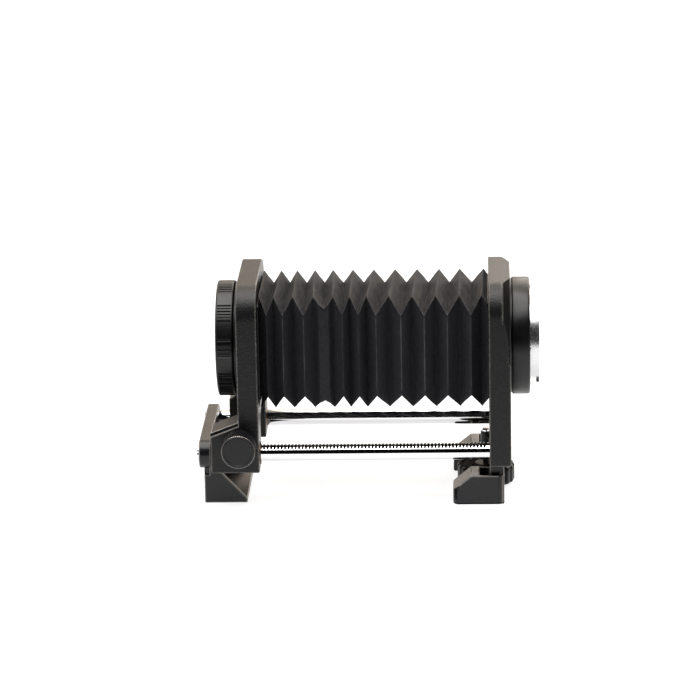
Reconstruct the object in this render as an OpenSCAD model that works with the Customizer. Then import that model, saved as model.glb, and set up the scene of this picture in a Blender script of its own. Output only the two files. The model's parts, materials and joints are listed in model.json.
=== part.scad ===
// Macro bellows unit: two standards on a pair of round rails, joined by a
// pleated bellows, with rack and pinion focusing. Millimetres.
// +X runs to the camera, +Y away from the focusing knob, +Z up. The origin is
// on the ground at the mouth of the tripod socket in the rear foot.

/* [Rails] */
// Diameter of each rail
rail_d = 8.4; // [7:0.1:9]
// Height of the rail axes above the ground
rail_z = 26.3; // [25:0.1:30]
// Length of rail that stands out of the end bracket
rail_stub = 1.4; // [0.8:0.1:2]

/* [Rack and pinion] */
// Pitch of the rack teeth
tooth_pitch = 1.75; // [1.6:0.01:1.9]
// Teeth on the pinion
pinion_teeth = 14; // [13:1:15]
// Play between the meshing flanks
backlash = 0.12; // [0.08:0.01:0.2]
// Length of the pinion gear
gear_len = 6; // [5:0.5:7]
// Diameter of the pinion shaft
pinion_shaft_d = 4; // [3:0.1:4.4]
// Diameter of the focusing knob
knob_d = 17; // [14:0.5:18]
// Length of the knurled part of the focusing knob
knob_len = 12.5; // [9:0.5:15]
// Flutes round the focusing knob
knob_flutes = 48; // [36:2:60]

/* [Standards] */
// Width of both standards
std_w = 79.6; // [76:0.2:84]
// Width of each carriage and of each rear leg, with a rail in its middle
carriage_w = 18; // [16:0.2:20]
// Height of the standards above the optical axis
std_head = 34.5; // [33:0.1:38]
// Radius of the upper outer corners
std_corner_r = 16; // [12:0.5:20]
// Height of the optical axis above the rail axes
optical_rise = 51.5; // [50:0.1:53]
// Thickness of the rear standard's plate
rear_plate_t = 7; // [6:0.1:8]
// Height of the rear standard's raised arch
rear_arch_t = 3.8; // [3:0.1:4.5]
// Thickness of the front standard
front_plate_t = 10.3; // [9.5:0.1:11.5]
// Radius of the rear standard's raised arch where it meets the plate
arch_base_r = 43.5; // [42:0.5:45]
// Radius of the raised arch at its face
arch_face_r = 37.6; // [36:0.2:39]
// Radius of the light path through the standards
throat_r = 24; // [22:0.5:25]

/* [Carriage] */
// Length of the carriage on the rack rail
carriage_len = 24.2; // [22:0.2:26]
// Length of the carriage on the plain rail
far_carriage_len = 18.7; // [17:0.2:21]
// Depth of the carriage below the rail axes
carriage_drop = 8; // [7.5:0.1:9]
// Height of the carriage's front edge above the rail axes
carriage_nose = 12.7; // [12:0.1:13.5]
// Height of the carriage's shoulder where it meets the leg
carriage_shoulder = 18; // [17:0.2:19]

/* [Bellows] */
// Length of the bellows as shown, the greatest extension
bellows_len = 115; // [110:1:120]
// Length of the bellows when it is closed
bellows_closed = 35; // [34:1:40]
// Half height of the bellows at the top ridges
ridge_half_h = 28.2; // [27:0.1:29]
// Half width of the bellows at the side ridges
ridge_half_w = 33.4; // [32:0.1:34.5]
// Depth of each pleat
pleat_depth = 6.6; // [5.5:0.1:7]
// Thickness of the folded cloth
cloth_t = 0.8; // [0.6:0.1:1]

/* [Rings] */
// Radius of the lens ring
ring_r = 29.2; // [28.4:0.1:30]
// Length of the lens ring
lens_ring_len = 9; // [8:0.1:10]
// Thickness of the lens flange behind the lens ring
lens_flange_t = 1.8; // [1.6:0.1:4]
// Radius of the camera ring
camera_ring_r = 29.6; // [28.8:0.1:30.4]
// Length of the camera ring
camera_ring_len = 9.8; // [9:0.1:11]
// Length of the bayonet that stands out of the camera ring
bayonet_len = 4.6; // [4:0.1:5.5]
// Outer radius of the bayonet's tube
bayonet_r = 22.2; // [21.5:0.1:22.8]
// Outer radius of the bayonet's lugs
bayonet_lug_r = 24; // [23.5:0.1:24.5]

/* [Feet] */
// Thickness of the end bracket
bracket_t = 6; // [5:0.1:7]
// Length of the end bracket's foot along the rails
bracket_foot_len = 21.5; // [18:0.5:24]
// Length of the tripod foot along the rails
foot_len = 25.7; // [24:0.1:28]
// Distance of the tripod foot's sides inside the standards' sides
foot_inset = 2.8; // [1.5:0.1:5]
// Height of the tripod foot
foot_h = 15.1; // [14:0.1:16]
// Distance from the tripod socket's axis to the foot's front face
foot_front = 16.6; // [15:0.1:18]
// Radius of the clamp wheel
wheel_r = 14.5; // [13:0.1:15]
// Height of the clamp wheel
wheel_h = 9.2; // [8:0.1:9.6]
// Flutes round the clamp wheel
wheel_flutes = 20; // [16:1:24]
// Radius of the tripod socket's wall
socket_r = 3.18; // [3.1:0.01:3.3]
// Depth of the tripod socket
socket_len = 6.5; // [5.5:0.1:7]

/* [Hidden] */
$fn = 64;

// Clearances that fitted pieces share
run_gap = 0.05;   // radial, a shaft that turns or slides
seat_gap = 0.02;  // radial, a piece that is pressed or screwed in
bore_gap = 0.2;   // radial, a bore that only its bushes touch
side_gap = 0.3;   // along an axis, between pieces that move
over = 1;         // overrun of a cut past its face

// Places along the rails, from the tripod socket
rear_face_x = 1.9;                          // rear standard's bellows side
rear_plate_x1 = rear_face_x + rear_plate_t;
rear_back_x = rear_plate_x1 + rear_arch_t;  // rear standard's camera side
front_back_x = rear_face_x - bellows_len;   // front standard's bellows side
front_face_x = front_back_x - front_plate_t; // front standard's lens side
carriage_x0 = front_back_x - carriage_len;
far_carriage_x0 = front_back_x - far_carriage_len;
bracket_x1 = carriage_x0 - side_gap;
bracket_x0 = bracket_x1 - bracket_t;
rail_x0 = bracket_x0 - rail_stub;
rail_seat = 6.6;                            // depth of the rails in the rear legs
rail_x1 = rear_face_x + rail_seat;
travel = bellows_len - bellows_closed;

// Heights and widths
rail_r = rail_d / 2;
rail_gap = std_w - carriage_w;
rail_y = rail_gap / 2;
optical_z = rail_z + optical_rise;
std_top = optical_z + std_head;
leg_drop = 5.7;                             // rear legs below the rail axes
leg_bottom = rail_z - leg_drop;
carriage_bottom = rail_z - carriage_drop;
leg_gap_w = rail_gap - carriage_w;          // free width between the legs
leg_gap_top = rail_z + carriage_shoulder;
leg_gap_r = 6;                              // corners at the top of that gap

// Rack: the pitch line lies one addendum below the top of the rail
tooth_module = tooth_pitch / PI;
rack_addendum_share = 0.82;
rack_dedendum_share = 1.2;
gear_dedendum_share = 1.1;
rack_addendum = rack_addendum_share * tooth_module;
rack_dedendum = rack_dedendum_share * tooth_module;
gear_addendum = tooth_module;
gear_dedendum = gear_dedendum_share * tooth_module;
pressure_angle = 20;
pitch_r = pinion_teeth * tooth_pitch / (2 * PI);
base_r = pitch_r * cos(pressure_angle);
pinion_z = rail_z + rail_r - rack_addendum + pitch_r;
pinion_share = 0.92;                        // place of the pinion in the standard's depth
pinion_x = front_back_x - pinion_share * front_plate_t;
gear_tip_r = pitch_r + gear_addendum;
gear_root_r = pitch_r - gear_dedendum;
gear_room_r = gear_tip_r + side_gap;

// Shapes set along X, along Y and on a plane across the rails
module along_x(x0, len, r, y = 0, z = 0, r2 = 0) {
  translate([x0, y, z])
    rotate([0, 90, 0])
      cylinder(h = len, r1 = r, r2 = r2 > 0 ? r2 : r);
}

module along_y(y0, len, r, x = 0, z = 0, r2 = 0) {
  translate([x, y0, z])
    rotate([-90, 0, 0])
      cylinder(h = len, r1 = r, r2 = r2 > 0 ? r2 : r);
}

// A profile drawn as (Y, Z) and thickened along +X
module across(x0, t) {
  translate([x0, 0, 0])
    rotate([90, 0, 90])
      linear_extrude(t)
        children();
}

// A profile drawn as (X, Z) and thickened from y0 towards +Y
module beside(y0, t) {
  translate([0, y0 + t, 0])
    rotate([90, 0, 0])
      linear_extrude(t)
        children();
}

// A rectangle whose corners are round
module round_rect(x0, y0, x1, y1, r) {
  translate([x0 + r, y0]) square([x1 - x0 - 2 * r, y1 - y0]);
  translate([x0, y0 + r]) square([x1 - x0, y1 - y0 - 2 * r]);
  for (x = [x0 + r, x1 - r], y = [y0 + r, y1 - r])
    translate([x, y]) circle(r);
}

// A screw with a countersunk or a cheese head, its head at z = 0, shank down
module screw(shank_r, shank_len, head_r, head_h, slot_w) {
  difference() {
    union() {
      translate([0, 0, -shank_len]) cylinder(h = shank_len, r = shank_r);
      cylinder(h = head_h, r = head_r);
    }
    translate([-head_r - over, -slot_w / 2, head_h / 2])
      cube([2 * (head_r + over), slot_w, head_h]);
  }
}

/* Rails */

// Flank run of a rack tooth over a height h
function flank(h) = h * tan(pressure_angle);

// The gaps between the rack's teeth, with one gap straight under the pinion
first_gap = ceil((rail_x0 + 2 * tooth_pitch - pinion_x) / tooth_pitch);
last_gap = floor((rear_face_x - tooth_pitch - pinion_x) / tooth_pitch);
gap_half = tooth_pitch / 4 + backlash / 4;  // half width of a gap on the pitch line

module rack_gaps() {
  top = rail_z + rail_r + over;
  pitch_line = rail_z + rail_r - rack_addendum;
  root = pitch_line - rack_dedendum;
  beside(-rail_y - rail_r, 2 * rail_r)
    polygon(concat(
      [[pinion_x + (first_gap - 1) * tooth_pitch, top]],
      [for (i = [first_gap:last_gap])
        let (x = pinion_x + i * tooth_pitch,
             wide = gap_half + flank(rack_addendum),
             narrow = gap_half - flank(rack_dedendum),
             tip = rail_z + rail_r)
        each [[x - wide, tip], [x - narrow, root], [x + narrow, root], [x + wide, tip]]],
      [[pinion_x + (last_gap + 1) * tooth_pitch, top]]
    ));
}

rail_chamfer = 0.6;

module rail(y) {
  along_x(rail_x0 + rail_chamfer, rail_x1 - rail_x0 - rail_chamfer, rail_r, y, rail_z);
  along_x(rail_x0, rail_chamfer, rail_r - rail_chamfer, y, rail_z, rail_r);
}

module rack_rail() {
  color("silver")
    difference() {
      rail(-rail_y);
      rack_gaps();
    }
}

module plain_rail() {
  color("silver") rail(rail_y);
}

/* End bracket */

bracket_r = 7.3;             // round ends of the bracket, about the rails
bracket_inset = 2;           // foot's wall behind the bracket's front face
bracket_foot_x0 = bracket_x0 + bracket_inset;
bracket_wall = 3.4;          // upright wall of the foot
bracket_sole = 2.2;          // sole of the foot
gusset_t = 2.4;              // side webs of the foot
gusset_top = rail_z - 9.6;   // where the webs' slope starts
gusset_run = 8;              // length of the webs at the top
gusset_rest = carriage_bottom - side_gap;  // top of the webs, under the carriages
grub_r = 1.5;                // grub screws that hold the rails
grub_len = 3;

module bracket_web() {
  x0 = bracket_foot_x0;
  polygon([
    [x0, 0], [x0 + bracket_foot_len, 0], [x0 + bracket_foot_len, bracket_sole],
    [x0 + gusset_run, gusset_top], [x0 + gusset_run, gusset_rest], [bracket_x1, gusset_rest],
    [bracket_x1, rail_z - bracket_r], [x0, rail_z - bracket_r]
  ]);
}

module bracket_grub_places() {
  for (y = [-rail_y, rail_y])
    translate([bracket_x0 + bracket_t / 2, y, rail_z - rail_r]) children();
}

module end_bracket() {
  x0 = bracket_foot_x0;
  inner = rail_y - gusset_t;
  color("dimgray")
    difference() {
      union() {
        across(bracket_x0, bracket_t) {
          translate([-rail_y, rail_z - bracket_r]) square([rail_gap, 2 * bracket_r]);
          for (y = [-rail_y, rail_y]) translate([y, rail_z]) circle(bracket_r);
        }
        beside(-rail_y, rail_gap) bracket_web();
      }
      beside(-inner, 2 * inner)
        polygon([
          [x0 + bracket_wall, bracket_sole], [x0 + bracket_foot_len + over, bracket_sole],
          [x0 + bracket_foot_len + over, rail_z - bracket_r],
          [x0 + bracket_wall, rail_z - bracket_r]
        ]);
      for (y = [-rail_y, rail_y])
        along_x(bracket_x0 - over, bracket_t + 2 * over, rail_r + seat_gap, y, rail_z);
      bracket_grub_places()
        translate([0, 0, -bracket_r])
          cylinder(h = bracket_r, r = grub_r + seat_gap);
    }
}

module grub_screw() {
  difference() {
    translate([0, 0, -grub_len]) cylinder(h = grub_len, r = grub_r);
    translate([0, 0, -grub_len - over]) cylinder(h = grub_len / 2 + over, r = grub_r / 2, $fn = 6);
  }
}

module bracket_grub_screws() {
  color("black")
    bracket_grub_places()
      translate([0, 0, -seat_gap]) grub_screw();
}

/* Standards */

// Outline of a standard across the rails, open between its legs
module gate(bottom) {
  half = std_w / 2;
  difference() {
    union() {
      translate([-half, bottom]) square([std_w, std_top - std_corner_r - bottom]);
      translate([-half + std_corner_r, bottom])
        square([std_w - 2 * std_corner_r, std_top - bottom]);
      for (y = [-half + std_corner_r, half - std_corner_r])
        translate([y, std_top - std_corner_r]) circle(std_corner_r);
    }
    translate([-leg_gap_w / 2, bottom - over])
      square([leg_gap_w, leg_gap_top - leg_gap_r - bottom + over]);
    translate([-leg_gap_w / 2 + leg_gap_r, bottom - over])
      square([leg_gap_w - 2 * leg_gap_r, leg_gap_top - bottom + over]);
    for (y = [-leg_gap_w / 2 + leg_gap_r, leg_gap_w / 2 - leg_gap_r])
      translate([y, leg_gap_top - leg_gap_r]) circle(leg_gap_r);
  }
}

// Raised arch: a shallow cone about the optical axis over full-width legs
module arch(x0, t, bottom) {
  shoulder = optical_z - (std_w - 2 * arch_face_r);
  intersection() {
    across(x0, t) gate(bottom);
    union() {
      along_x(x0, t, arch_base_r, 0, optical_z, arch_face_r);
      translate([x0, -arch_face_r, bottom]) cube([t, 2 * arch_face_r, optical_z - bottom]);
      translate([x0, -std_w / 2, bottom]) cube([t, std_w, shoulder - bottom]);
    }
  }
}

// Lower tie between the rear legs, with the lug that carries the clamp bolt
tie_top = rail_z - 1.4;
tie_h = tie_top - leg_bottom;
tie_seat = 1;                 // how far the tie runs into the legs
lug_r = 2.6;
lug_rise = 2.5;               // lug above the tie
lug_top = tie_top + lug_rise;
bolt_r = 1.5;
bolt_cap_r = 1.9;
bolt_cap_h = 1;               // upright part of the bolt's head
bolt_dome_h = 0.8;
dome_top_share = 0.7;         // top of the head, of its radius
cross_w = 0.6;                // cross slots in the head
cross_share = 0.75;

// Screws that hold the rings and the bellows frames
small_screw_r = 1;
small_head_r = 1.7;
small_head_h = 0.9;
small_screw_len = 4;
small_slot = 0.4;
ring_screw_circle = 26.6;     // radius on which the ring screws sit

module ring_screw_places(count, turn) {
  for (i = [0:count - 1])
    rotate([turn + i * 360 / count, 0, 0]) children();
}

frame_t = 0.6;                                // bellows frames
frame_half_w = ridge_half_w - pleat_depth / 2;
frame_half_h = ridge_half_h - pleat_depth / 2;
frame_open = 21.2;                          // half side of the frame's opening
frame_corner_r = 3;
// Screws stand clear of the cloth where the bellows is narrow
frame_screw_y = ridge_half_w - pleat_depth - cloth_t - small_head_r - side_gap;
frame_screw_inset = 3.4;
frame_screw_z = frame_half_h - frame_screw_inset;

module frame_screw_places() {
  for (y = [-frame_screw_y, frame_screw_y], z = [-frame_screw_z, frame_screw_z])
    translate([0, y, optical_z + z]) children();
}

module leg_grub_places() {
  for (y = [-rail_y, rail_y])
    translate([rear_face_x + rail_seat / 2, y, rail_z - rail_r]) children();
}

module rear_standard() {
  color("dimgray")
    difference() {
      union() {
        across(rear_face_x, rear_plate_t) gate(leg_bottom);
        arch(rear_plate_x1, rear_arch_t, leg_bottom);
        translate([rear_face_x, -leg_gap_w / 2 - tie_seat, tie_top - tie_h])
          cube([rear_plate_t, leg_gap_w + 2 * tie_seat, tie_h]);
        translate([0, 0, tie_top - tie_h]) cylinder(h = tie_h + lug_rise, r = lug_r);
        translate([0, -lug_r, tie_top - tie_h]) cube([rear_face_x + over, 2 * lug_r, tie_h]);
      }
      along_x(rear_face_x - over, rear_plate_t + rear_arch_t + 2 * over, throat_r, 0, optical_z);
      for (y = [-rail_y, rail_y])
        along_x(rear_face_x - over, rail_seat + over, rail_r + seat_gap, y, rail_z);
      translate([0, 0, tie_top - tie_h - over])
        cylinder(h = tie_h + lug_rise + 2 * over, r = bolt_r + seat_gap);
      leg_grub_places()
        translate([0, 0, -bracket_r]) cylinder(h = bracket_r, r = grub_r + seat_gap);
      translate([rear_back_x, 0, optical_z])
        ring_screw_places(4, 45)
          translate([-small_screw_len, 0, ring_screw_circle])
            rotate([0, 90, 0])
              cylinder(h = small_screw_len + over, r = small_screw_r + seat_gap);
      frame_screw_places()
        along_x(rear_face_x - over, small_screw_len + over, small_screw_r + seat_gap);
    }
}

module leg_grub_screws() {
  color("black")
    leg_grub_places()
      translate([0, 0, -seat_gap]) difference() {
        short = leg_drop - rail_r - 2 * seat_gap;
        translate([0, 0, -short]) cylinder(h = short, r = grub_r);
        translate([0, 0, -short - over])
          cylinder(h = short / 2 + over, r = grub_r / 2, $fn = 6);
      }
}

/* Camera side */

ring_edge = 0.8;              // chamfer on the rings
ring_gap = 0.75;              // groove between the standard and the camera ring
camera_ring_x0 = rear_back_x;
camera_ring_x1 = camera_ring_x0 + camera_ring_len;
bayonet_seat_t = 2.2;         // flange of the bayonet, let into the ring
bayonet_seat_r = 27.4;
bayonet_screw_circle = 25.4;
lug_t = 1.4;                  // bayonet lugs
lug_arc = 52;                 // degrees of each lug

// A washer or ring about the optical axis, turned from a profile
module ring(x0, len, r_in, r_out) {
  translate([x0, 0, optical_z])
    rotate([0, 90, 0])
      difference() {
        cylinder(h = len, r = r_out);
        translate([0, 0, -over]) cylinder(h = len + 2 * over, r = r_in);
      }
}

// A ring with a chamfer on both outer edges
module edged_ring(x0, len, r_in, r_out) {
  translate([x0, 0, optical_z])
    rotate([0, 90, 0])
      rotate_extrude()
        polygon([
          [r_in, 0], [r_out - ring_edge, 0], [r_out, ring_edge], [r_out, len - ring_edge],
          [r_out - ring_edge, len], [r_in, len]
        ]);
}

module camera_ring() {
  color("black")
    difference() {
      union() {
        ring(camera_ring_x0, camera_ring_len - ring_edge, throat_r, camera_ring_r - ring_edge);
        edged_ring(camera_ring_x0 + ring_gap, camera_ring_len - ring_gap, throat_r,
                   camera_ring_r);
      }
      ring(camera_ring_x1 - bayonet_seat_t, bayonet_seat_t + over, 0,
           bayonet_seat_r + seat_gap);
      translate([camera_ring_x0, 0, optical_z])
        ring_screw_places(4, 45) {
          translate([-over, 0, ring_screw_circle])
            rotate([0, 90, 0])
              cylinder(h = camera_ring_len, r = small_screw_r + seat_gap);
          translate([camera_ring_len - bayonet_seat_t - small_head_h, 0, ring_screw_circle])
            rotate([0, 90, 0])
              cylinder(h = camera_ring_len, r = small_head_r + seat_gap);
        }
      translate([camera_ring_x1, 0, optical_z])
        ring_screw_places(4, 0)
          translate([-bayonet_seat_t - small_screw_len, 0, bayonet_screw_circle])
            rotate([0, 90, 0])
              cylinder(h = small_screw_len + over, r = small_screw_r + seat_gap);
    }
}

module camera_ring_screws() {
  inset = bayonet_seat_t + small_head_h;
  color("silver")
    translate([camera_ring_x1 - inset, 0, optical_z])
      ring_screw_places(4, 45)
        translate([0, 0, ring_screw_circle])
          rotate([0, 90, 0])
            screw(small_screw_r, camera_ring_len - inset + small_screw_len - side_gap,
                  small_head_r, small_head_h - seat_gap, small_slot);
}

bayonet_x0 = camera_ring_x1 - bayonet_seat_t;
bayonet_x1 = camera_ring_x1 + bayonet_len;
bayonet_in_r = 20.4;

module camera_bayonet() {
  color("silver")
    difference() {
      union() {
        ring(bayonet_x0, bayonet_seat_t, bayonet_in_r, bayonet_seat_r);
        ring(bayonet_x0, bayonet_seat_t + bayonet_len, bayonet_in_r, bayonet_r);
        translate([bayonet_x1 - lug_t, 0, optical_z])
          rotate([0, 90, 0])
            for (i = [0:2])
              rotate([0, 0, i * 120 - lug_arc / 2])
                rotate_extrude(angle = lug_arc)
                  translate([(bayonet_in_r + bayonet_r) / 2, 0])
                    square([bayonet_lug_r - (bayonet_in_r + bayonet_r) / 2, lug_t]);
      }
      translate([camera_ring_x1, 0, optical_z])
        ring_screw_places(4, 0) {
          translate([-bayonet_seat_t - over, 0, bayonet_screw_circle])
            rotate([0, 90, 0])
              cylinder(h = bayonet_seat_t + 2 * over, r = small_screw_r + seat_gap);
          translate([-small_head_h, 0, bayonet_screw_circle])
            rotate([0, 90, 0])
              cylinder(h = small_head_h + over, r = small_head_r + seat_gap);
        }
    }
}

module bayonet_screws() {
  color("silver")
    translate([camera_ring_x1 - small_head_h, 0, optical_z])
      ring_screw_places(4, 0)
        translate([0, 0, bayonet_screw_circle])
          rotate([0, 90, 0])
            screw(small_screw_r, small_screw_len, small_head_r, small_head_h - seat_gap,
                  small_slot);
}

/* Bellows */

// Width of each pleat as a share of the mean, from the lens side
pleat_shares = [0.68, 0.9, 0.96, 0.96, 0.91, 0.95, 1.1, 1.14, 1.15, 1.11, 1.1];
end_shares = [0.04, 0.22];     // first and last half pleat, of the mean pleat
cloth_gap = 0.2;               // between the folded cloth and the front frame
pleats = len(pleat_shares);

function sum_to(list, n) = n <= 0 ? 0 : list[n - 1] + sum_to(list, n - 1);

bellows_x0 = front_back_x + frame_t + cloth_gap;
bellows_x1 = rear_face_x - frame_t;
mean_pleat = (bellows_x1 - bellows_x0) / (sum_to(pleat_shares, pleats) + sum_to(end_shares, 2));

function ridge_x(i) = bellows_x0 + mean_pleat * (end_shares[0] + sum_to(pleat_shares, i));

// Stations along the bellows: [x, half width, half height]. At a top ridge the
// bellows is tall and narrow, half a pleat on it is low and wide.
top_ridge_w = ridge_half_w - pleat_depth;
side_ridge_h = ridge_half_h - pleat_depth;
stations = concat(
  [[bellows_x0, frame_half_w, frame_half_h]],
  [for (i = [0:pleats]) each concat(
    [[ridge_x(i), top_ridge_w, ridge_half_h]],
    i < pleats ? [[(ridge_x(i) + ridge_x(i + 1)) / 2, ridge_half_w, side_ridge_h]] : []
  )],
  [[bellows_x1, frame_half_w, frame_half_h]]
);

// The folded cloth as one closed shell, four corners a station, outside and inside
function station_corners(s, t) = [
  for (c = [[-1, -1], [1, -1], [1, 1], [-1, 1]])
    [s[0], c[0] * (s[1] - t), optical_z + c[1] * (s[2] - t)]
];

module bellows() {
  n = len(stations);
  outer = [for (s = stations) each station_corners(s, 0)];
  inner = [for (s = stations) each station_corners(s, cloth_t)];
  shift = 4 * n;
  color([0.13, 0.13, 0.14])
    polyhedron(
      points = concat(outer, inner),
      faces = concat(
        [for (i = [0:n - 2], c = [0:3])
          let (a = 4 * i + c, b = 4 * i + (c + 1) % 4)
          each [[a, a + 4, b + 4], [a, b + 4, b]]],
        [for (i = [0:n - 2], c = [0:3])
          let (a = shift + 4 * i + c, b = shift + 4 * i + (c + 1) % 4)
          each [[a, b + 4, a + 4], [a, b, b + 4]]],
        [for (c = [0:3])
          let (a = c, b = (c + 1) % 4)
          each [[a, b, b + shift], [a, b + shift, a + shift]]],
        [for (c = [0:3])
          let (a = 4 * (n - 1) + c, b = 4 * (n - 1) + (c + 1) % 4)
          each [[a, b + shift, b], [a, a + shift, b + shift]]]
      )
    );
}

module bellows_frame(x0) {
  difference() {
    across(x0, frame_t)
      translate([0, optical_z])
        difference() {
          round_rect(-frame_half_w, -frame_half_h, frame_half_w, frame_half_h, frame_corner_r);
          round_rect(-frame_open, -frame_open, frame_open, frame_open, frame_corner_r);
        }
    frame_screw_places()
      along_x(x0 - over, frame_t + 2 * over, small_screw_r + seat_gap);
  }
}

module rear_bellows_frame() {
  color("gray") bellows_frame(rear_face_x - frame_t);
}

module front_bellows_frame() {
  color("gray") bellows_frame(front_back_x);
}

module rear_frame_screws() {
  color("silver")
    frame_screw_places()
      translate([rear_face_x - frame_t, 0, 0])
        rotate([0, -90, 0])
          screw(small_screw_r, small_screw_len, small_head_r, small_head_h, small_slot);
}

module front_frame_screws() {
  color("silver")
    frame_screw_places()
      translate([front_back_x + frame_t, 0, 0])
        rotate([0, 90, 0])
          screw(small_screw_r, small_screw_len, small_head_r, small_head_h, small_slot);
}

/* Front standard with its two carriages */

bush_wall = 1.4;
bush_len = 6;
bush_lip = 0.5;                              // the rack rail's bush stands out behind
bush_r = rail_r + bush_wall;
shaft_r = pinion_shaft_d / 2;
shaft_bush_r = shaft_r + 1.6;
gear_room_len = gear_len + 2 * side_gap;
outer_y = -std_w / 2;                        // face that carries the knob
inner_y = -rail_y + carriage_w / 2;          // face towards the other rail
lock_r = 2;                                  // lock screw's shank
lock_x = front_back_x - far_carriage_len / 2;

module carriage_profile(x0) {
  polygon([
    [x0, carriage_bottom], [front_back_x, carriage_bottom],
    [front_back_x, rail_z + carriage_shoulder], [front_face_x, rail_z + carriage_shoulder],
    [x0, rail_z + carriage_nose]
  ]);
}

module front_standard() {
  color("dimgray")
    difference() {
      union() {
        across(front_face_x, front_plate_t) gate(carriage_bottom);
        beside(outer_y, carriage_w) carriage_profile(carriage_x0);
        beside(-outer_y - carriage_w, carriage_w) carriage_profile(far_carriage_x0);
      }
      along_x(front_face_x - over, front_plate_t + 2 * over, throat_r, 0, optical_z);
      // Rail bores, with wider seats for the bushes at both ends
      along_x(carriage_x0 - over, carriage_len + 2 * over, rail_r + bore_gap, -rail_y, rail_z);
      along_x(far_carriage_x0 - over, far_carriage_len + 2 * over, rail_r + bore_gap,
              rail_y, rail_z);
      for (x = [carriage_x0 - over, front_back_x + bush_lip - bush_len])
        along_x(x, bush_len + over, bush_r + seat_gap, -rail_y, rail_z);
      for (x = [far_carriage_x0 - over, front_back_x - bush_len])
        along_x(x, bush_len + over, bush_r + seat_gap, rail_y, rail_z);
      // Room for the pinion, open to the rack below it, and its bearings
      along_y(-rail_y - gear_room_len / 2, gear_room_len, gear_room_r, pinion_x, pinion_z);
      along_y(outer_y - over, carriage_w + 2 * over, shaft_bush_r + seat_gap, pinion_x, pinion_z);
      // Lock screw on the plain rail's side
      along_y(rail_y, carriage_w, lock_r + run_gap, lock_x, rail_z);
      // Threads for the flange and frame screws
      translate([front_face_x, 0, optical_z])
        ring_screw_places(4, 45)
          translate([-over, 0, ring_screw_circle])
            rotate([0, 90, 0])
              cylinder(h = small_screw_len + over, r = small_screw_r + seat_gap);
      frame_screw_places()
        along_x(front_back_x - small_screw_len, small_screw_len + over, small_screw_r + seat_gap);
    }
}

module bush(x0, y) {
  difference() {
    along_x(x0, bush_len, bush_r, y, rail_z);
    along_x(x0 - over, bush_len + 2 * over, rail_r + run_gap, y, rail_z);
  }
}

module rack_rail_bushes() {
  color("goldenrod")
    difference() {
      for (x = [carriage_x0, front_back_x + bush_lip - bush_len]) bush(x, -rail_y);
      along_y(-rail_y - gear_room_len / 2, gear_room_len, gear_room_r, pinion_x, pinion_z);
    }
}

module plain_rail_bushes() {
  color("goldenrod")
    for (x = [far_carriage_x0, front_back_x - bush_len]) bush(x, rail_y);
}

/* Lens side */

lens_flange_x0 = front_face_x - lens_flange_t;
lens_ring_x0 = lens_flange_x0 - side_gap - lens_ring_len;
flange_inset = 0.3;            // flange's edge inside the ring's
neck_r = 26.2;                 // neck that the ring turns on
neck_inset = 1.6;              // neck's face behind the ring's front
neck_len = lens_ring_len - neck_inset;
retainer_t = 1.2;
lens_open_r = 23.6;            // throat that takes the lens
breech_lip = 1.2;              // lip of the ring that presses on the lens
grips = 9;                     // ribbed grips round the lens ring
grip_turn = 7.5;               // degrees of the first grip from the top
grip_ribs = 5;
grip_step = 3.4;               // degrees between ribs
grip_cut = 0.5;                // radius of the cuts
grip_len = 6.6;
cut_share = 0.33;              // a cut's axis outside the surface, of its radius

module lens_flange() {
  color("dimgray")
    difference() {
      union() {
        ring(lens_flange_x0, lens_flange_t, throat_r, ring_r - flange_inset);
        ring(lens_flange_x0 - neck_len, neck_len + ring_edge, lens_open_r, neck_r);
      }
      translate([front_face_x, 0, optical_z])
        ring_screw_places(4, 45) {
          translate([-lens_flange_t - neck_len - over, 0, ring_screw_circle])
            rotate([0, 90, 0])
              cylinder(h = lens_flange_t + neck_len + 2 * over, r = small_screw_r + seat_gap);
          translate([-lens_flange_t - neck_len - over, 0, ring_screw_circle])
            rotate([0, 90, 0])
              cylinder(h = neck_len + over + small_head_h, r = small_head_r + seat_gap);
        }
    }
}

module lens_flange_screws() {
  color("silver")
    translate([lens_flange_x0 + small_head_h, 0, optical_z])
      ring_screw_places(4, 45)
        translate([0, 0, ring_screw_circle])
          rotate([0, -90, 0])
            screw(small_screw_r, lens_flange_t - small_head_h + small_screw_len - side_gap,
                  small_head_r, small_head_h - seat_gap, small_slot);
}

module lens_ring() {
  front_room = lens_flange_x0 - neck_len + retainer_t + side_gap - lens_ring_x0;
  color("black")
    difference() {
      edged_ring(lens_ring_x0, lens_ring_len, neck_r + run_gap, ring_r);
      // Room for the retainer, which keeps the ring on its neck
      ring(lens_ring_x0 - over, front_room + over, 0, neck_r + breech_lip + side_gap);
      // Cuts between the ribs of each grip
      translate([lens_ring_x0 + (lens_ring_len - grip_len) / 2, 0, optical_z])
        for (i = [0:grips - 1], j = [0:grip_ribs - 1])
          rotate([grip_turn + i * 360 / grips + (j - (grip_ribs - 1) / 2) * grip_step, 0, 0])
            translate([0, 0, ring_r + grip_cut * cut_share])
              rotate([0, 90, 0])
                cylinder(h = grip_len, r = grip_cut, $fn = 16);
    }
}

module ring_retainer() {
  color("silver")
    ring(lens_flange_x0 - neck_len, retainer_t, neck_r + seat_gap, neck_r + breech_lip);
}

/* Pinion and focusing knob */

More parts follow.
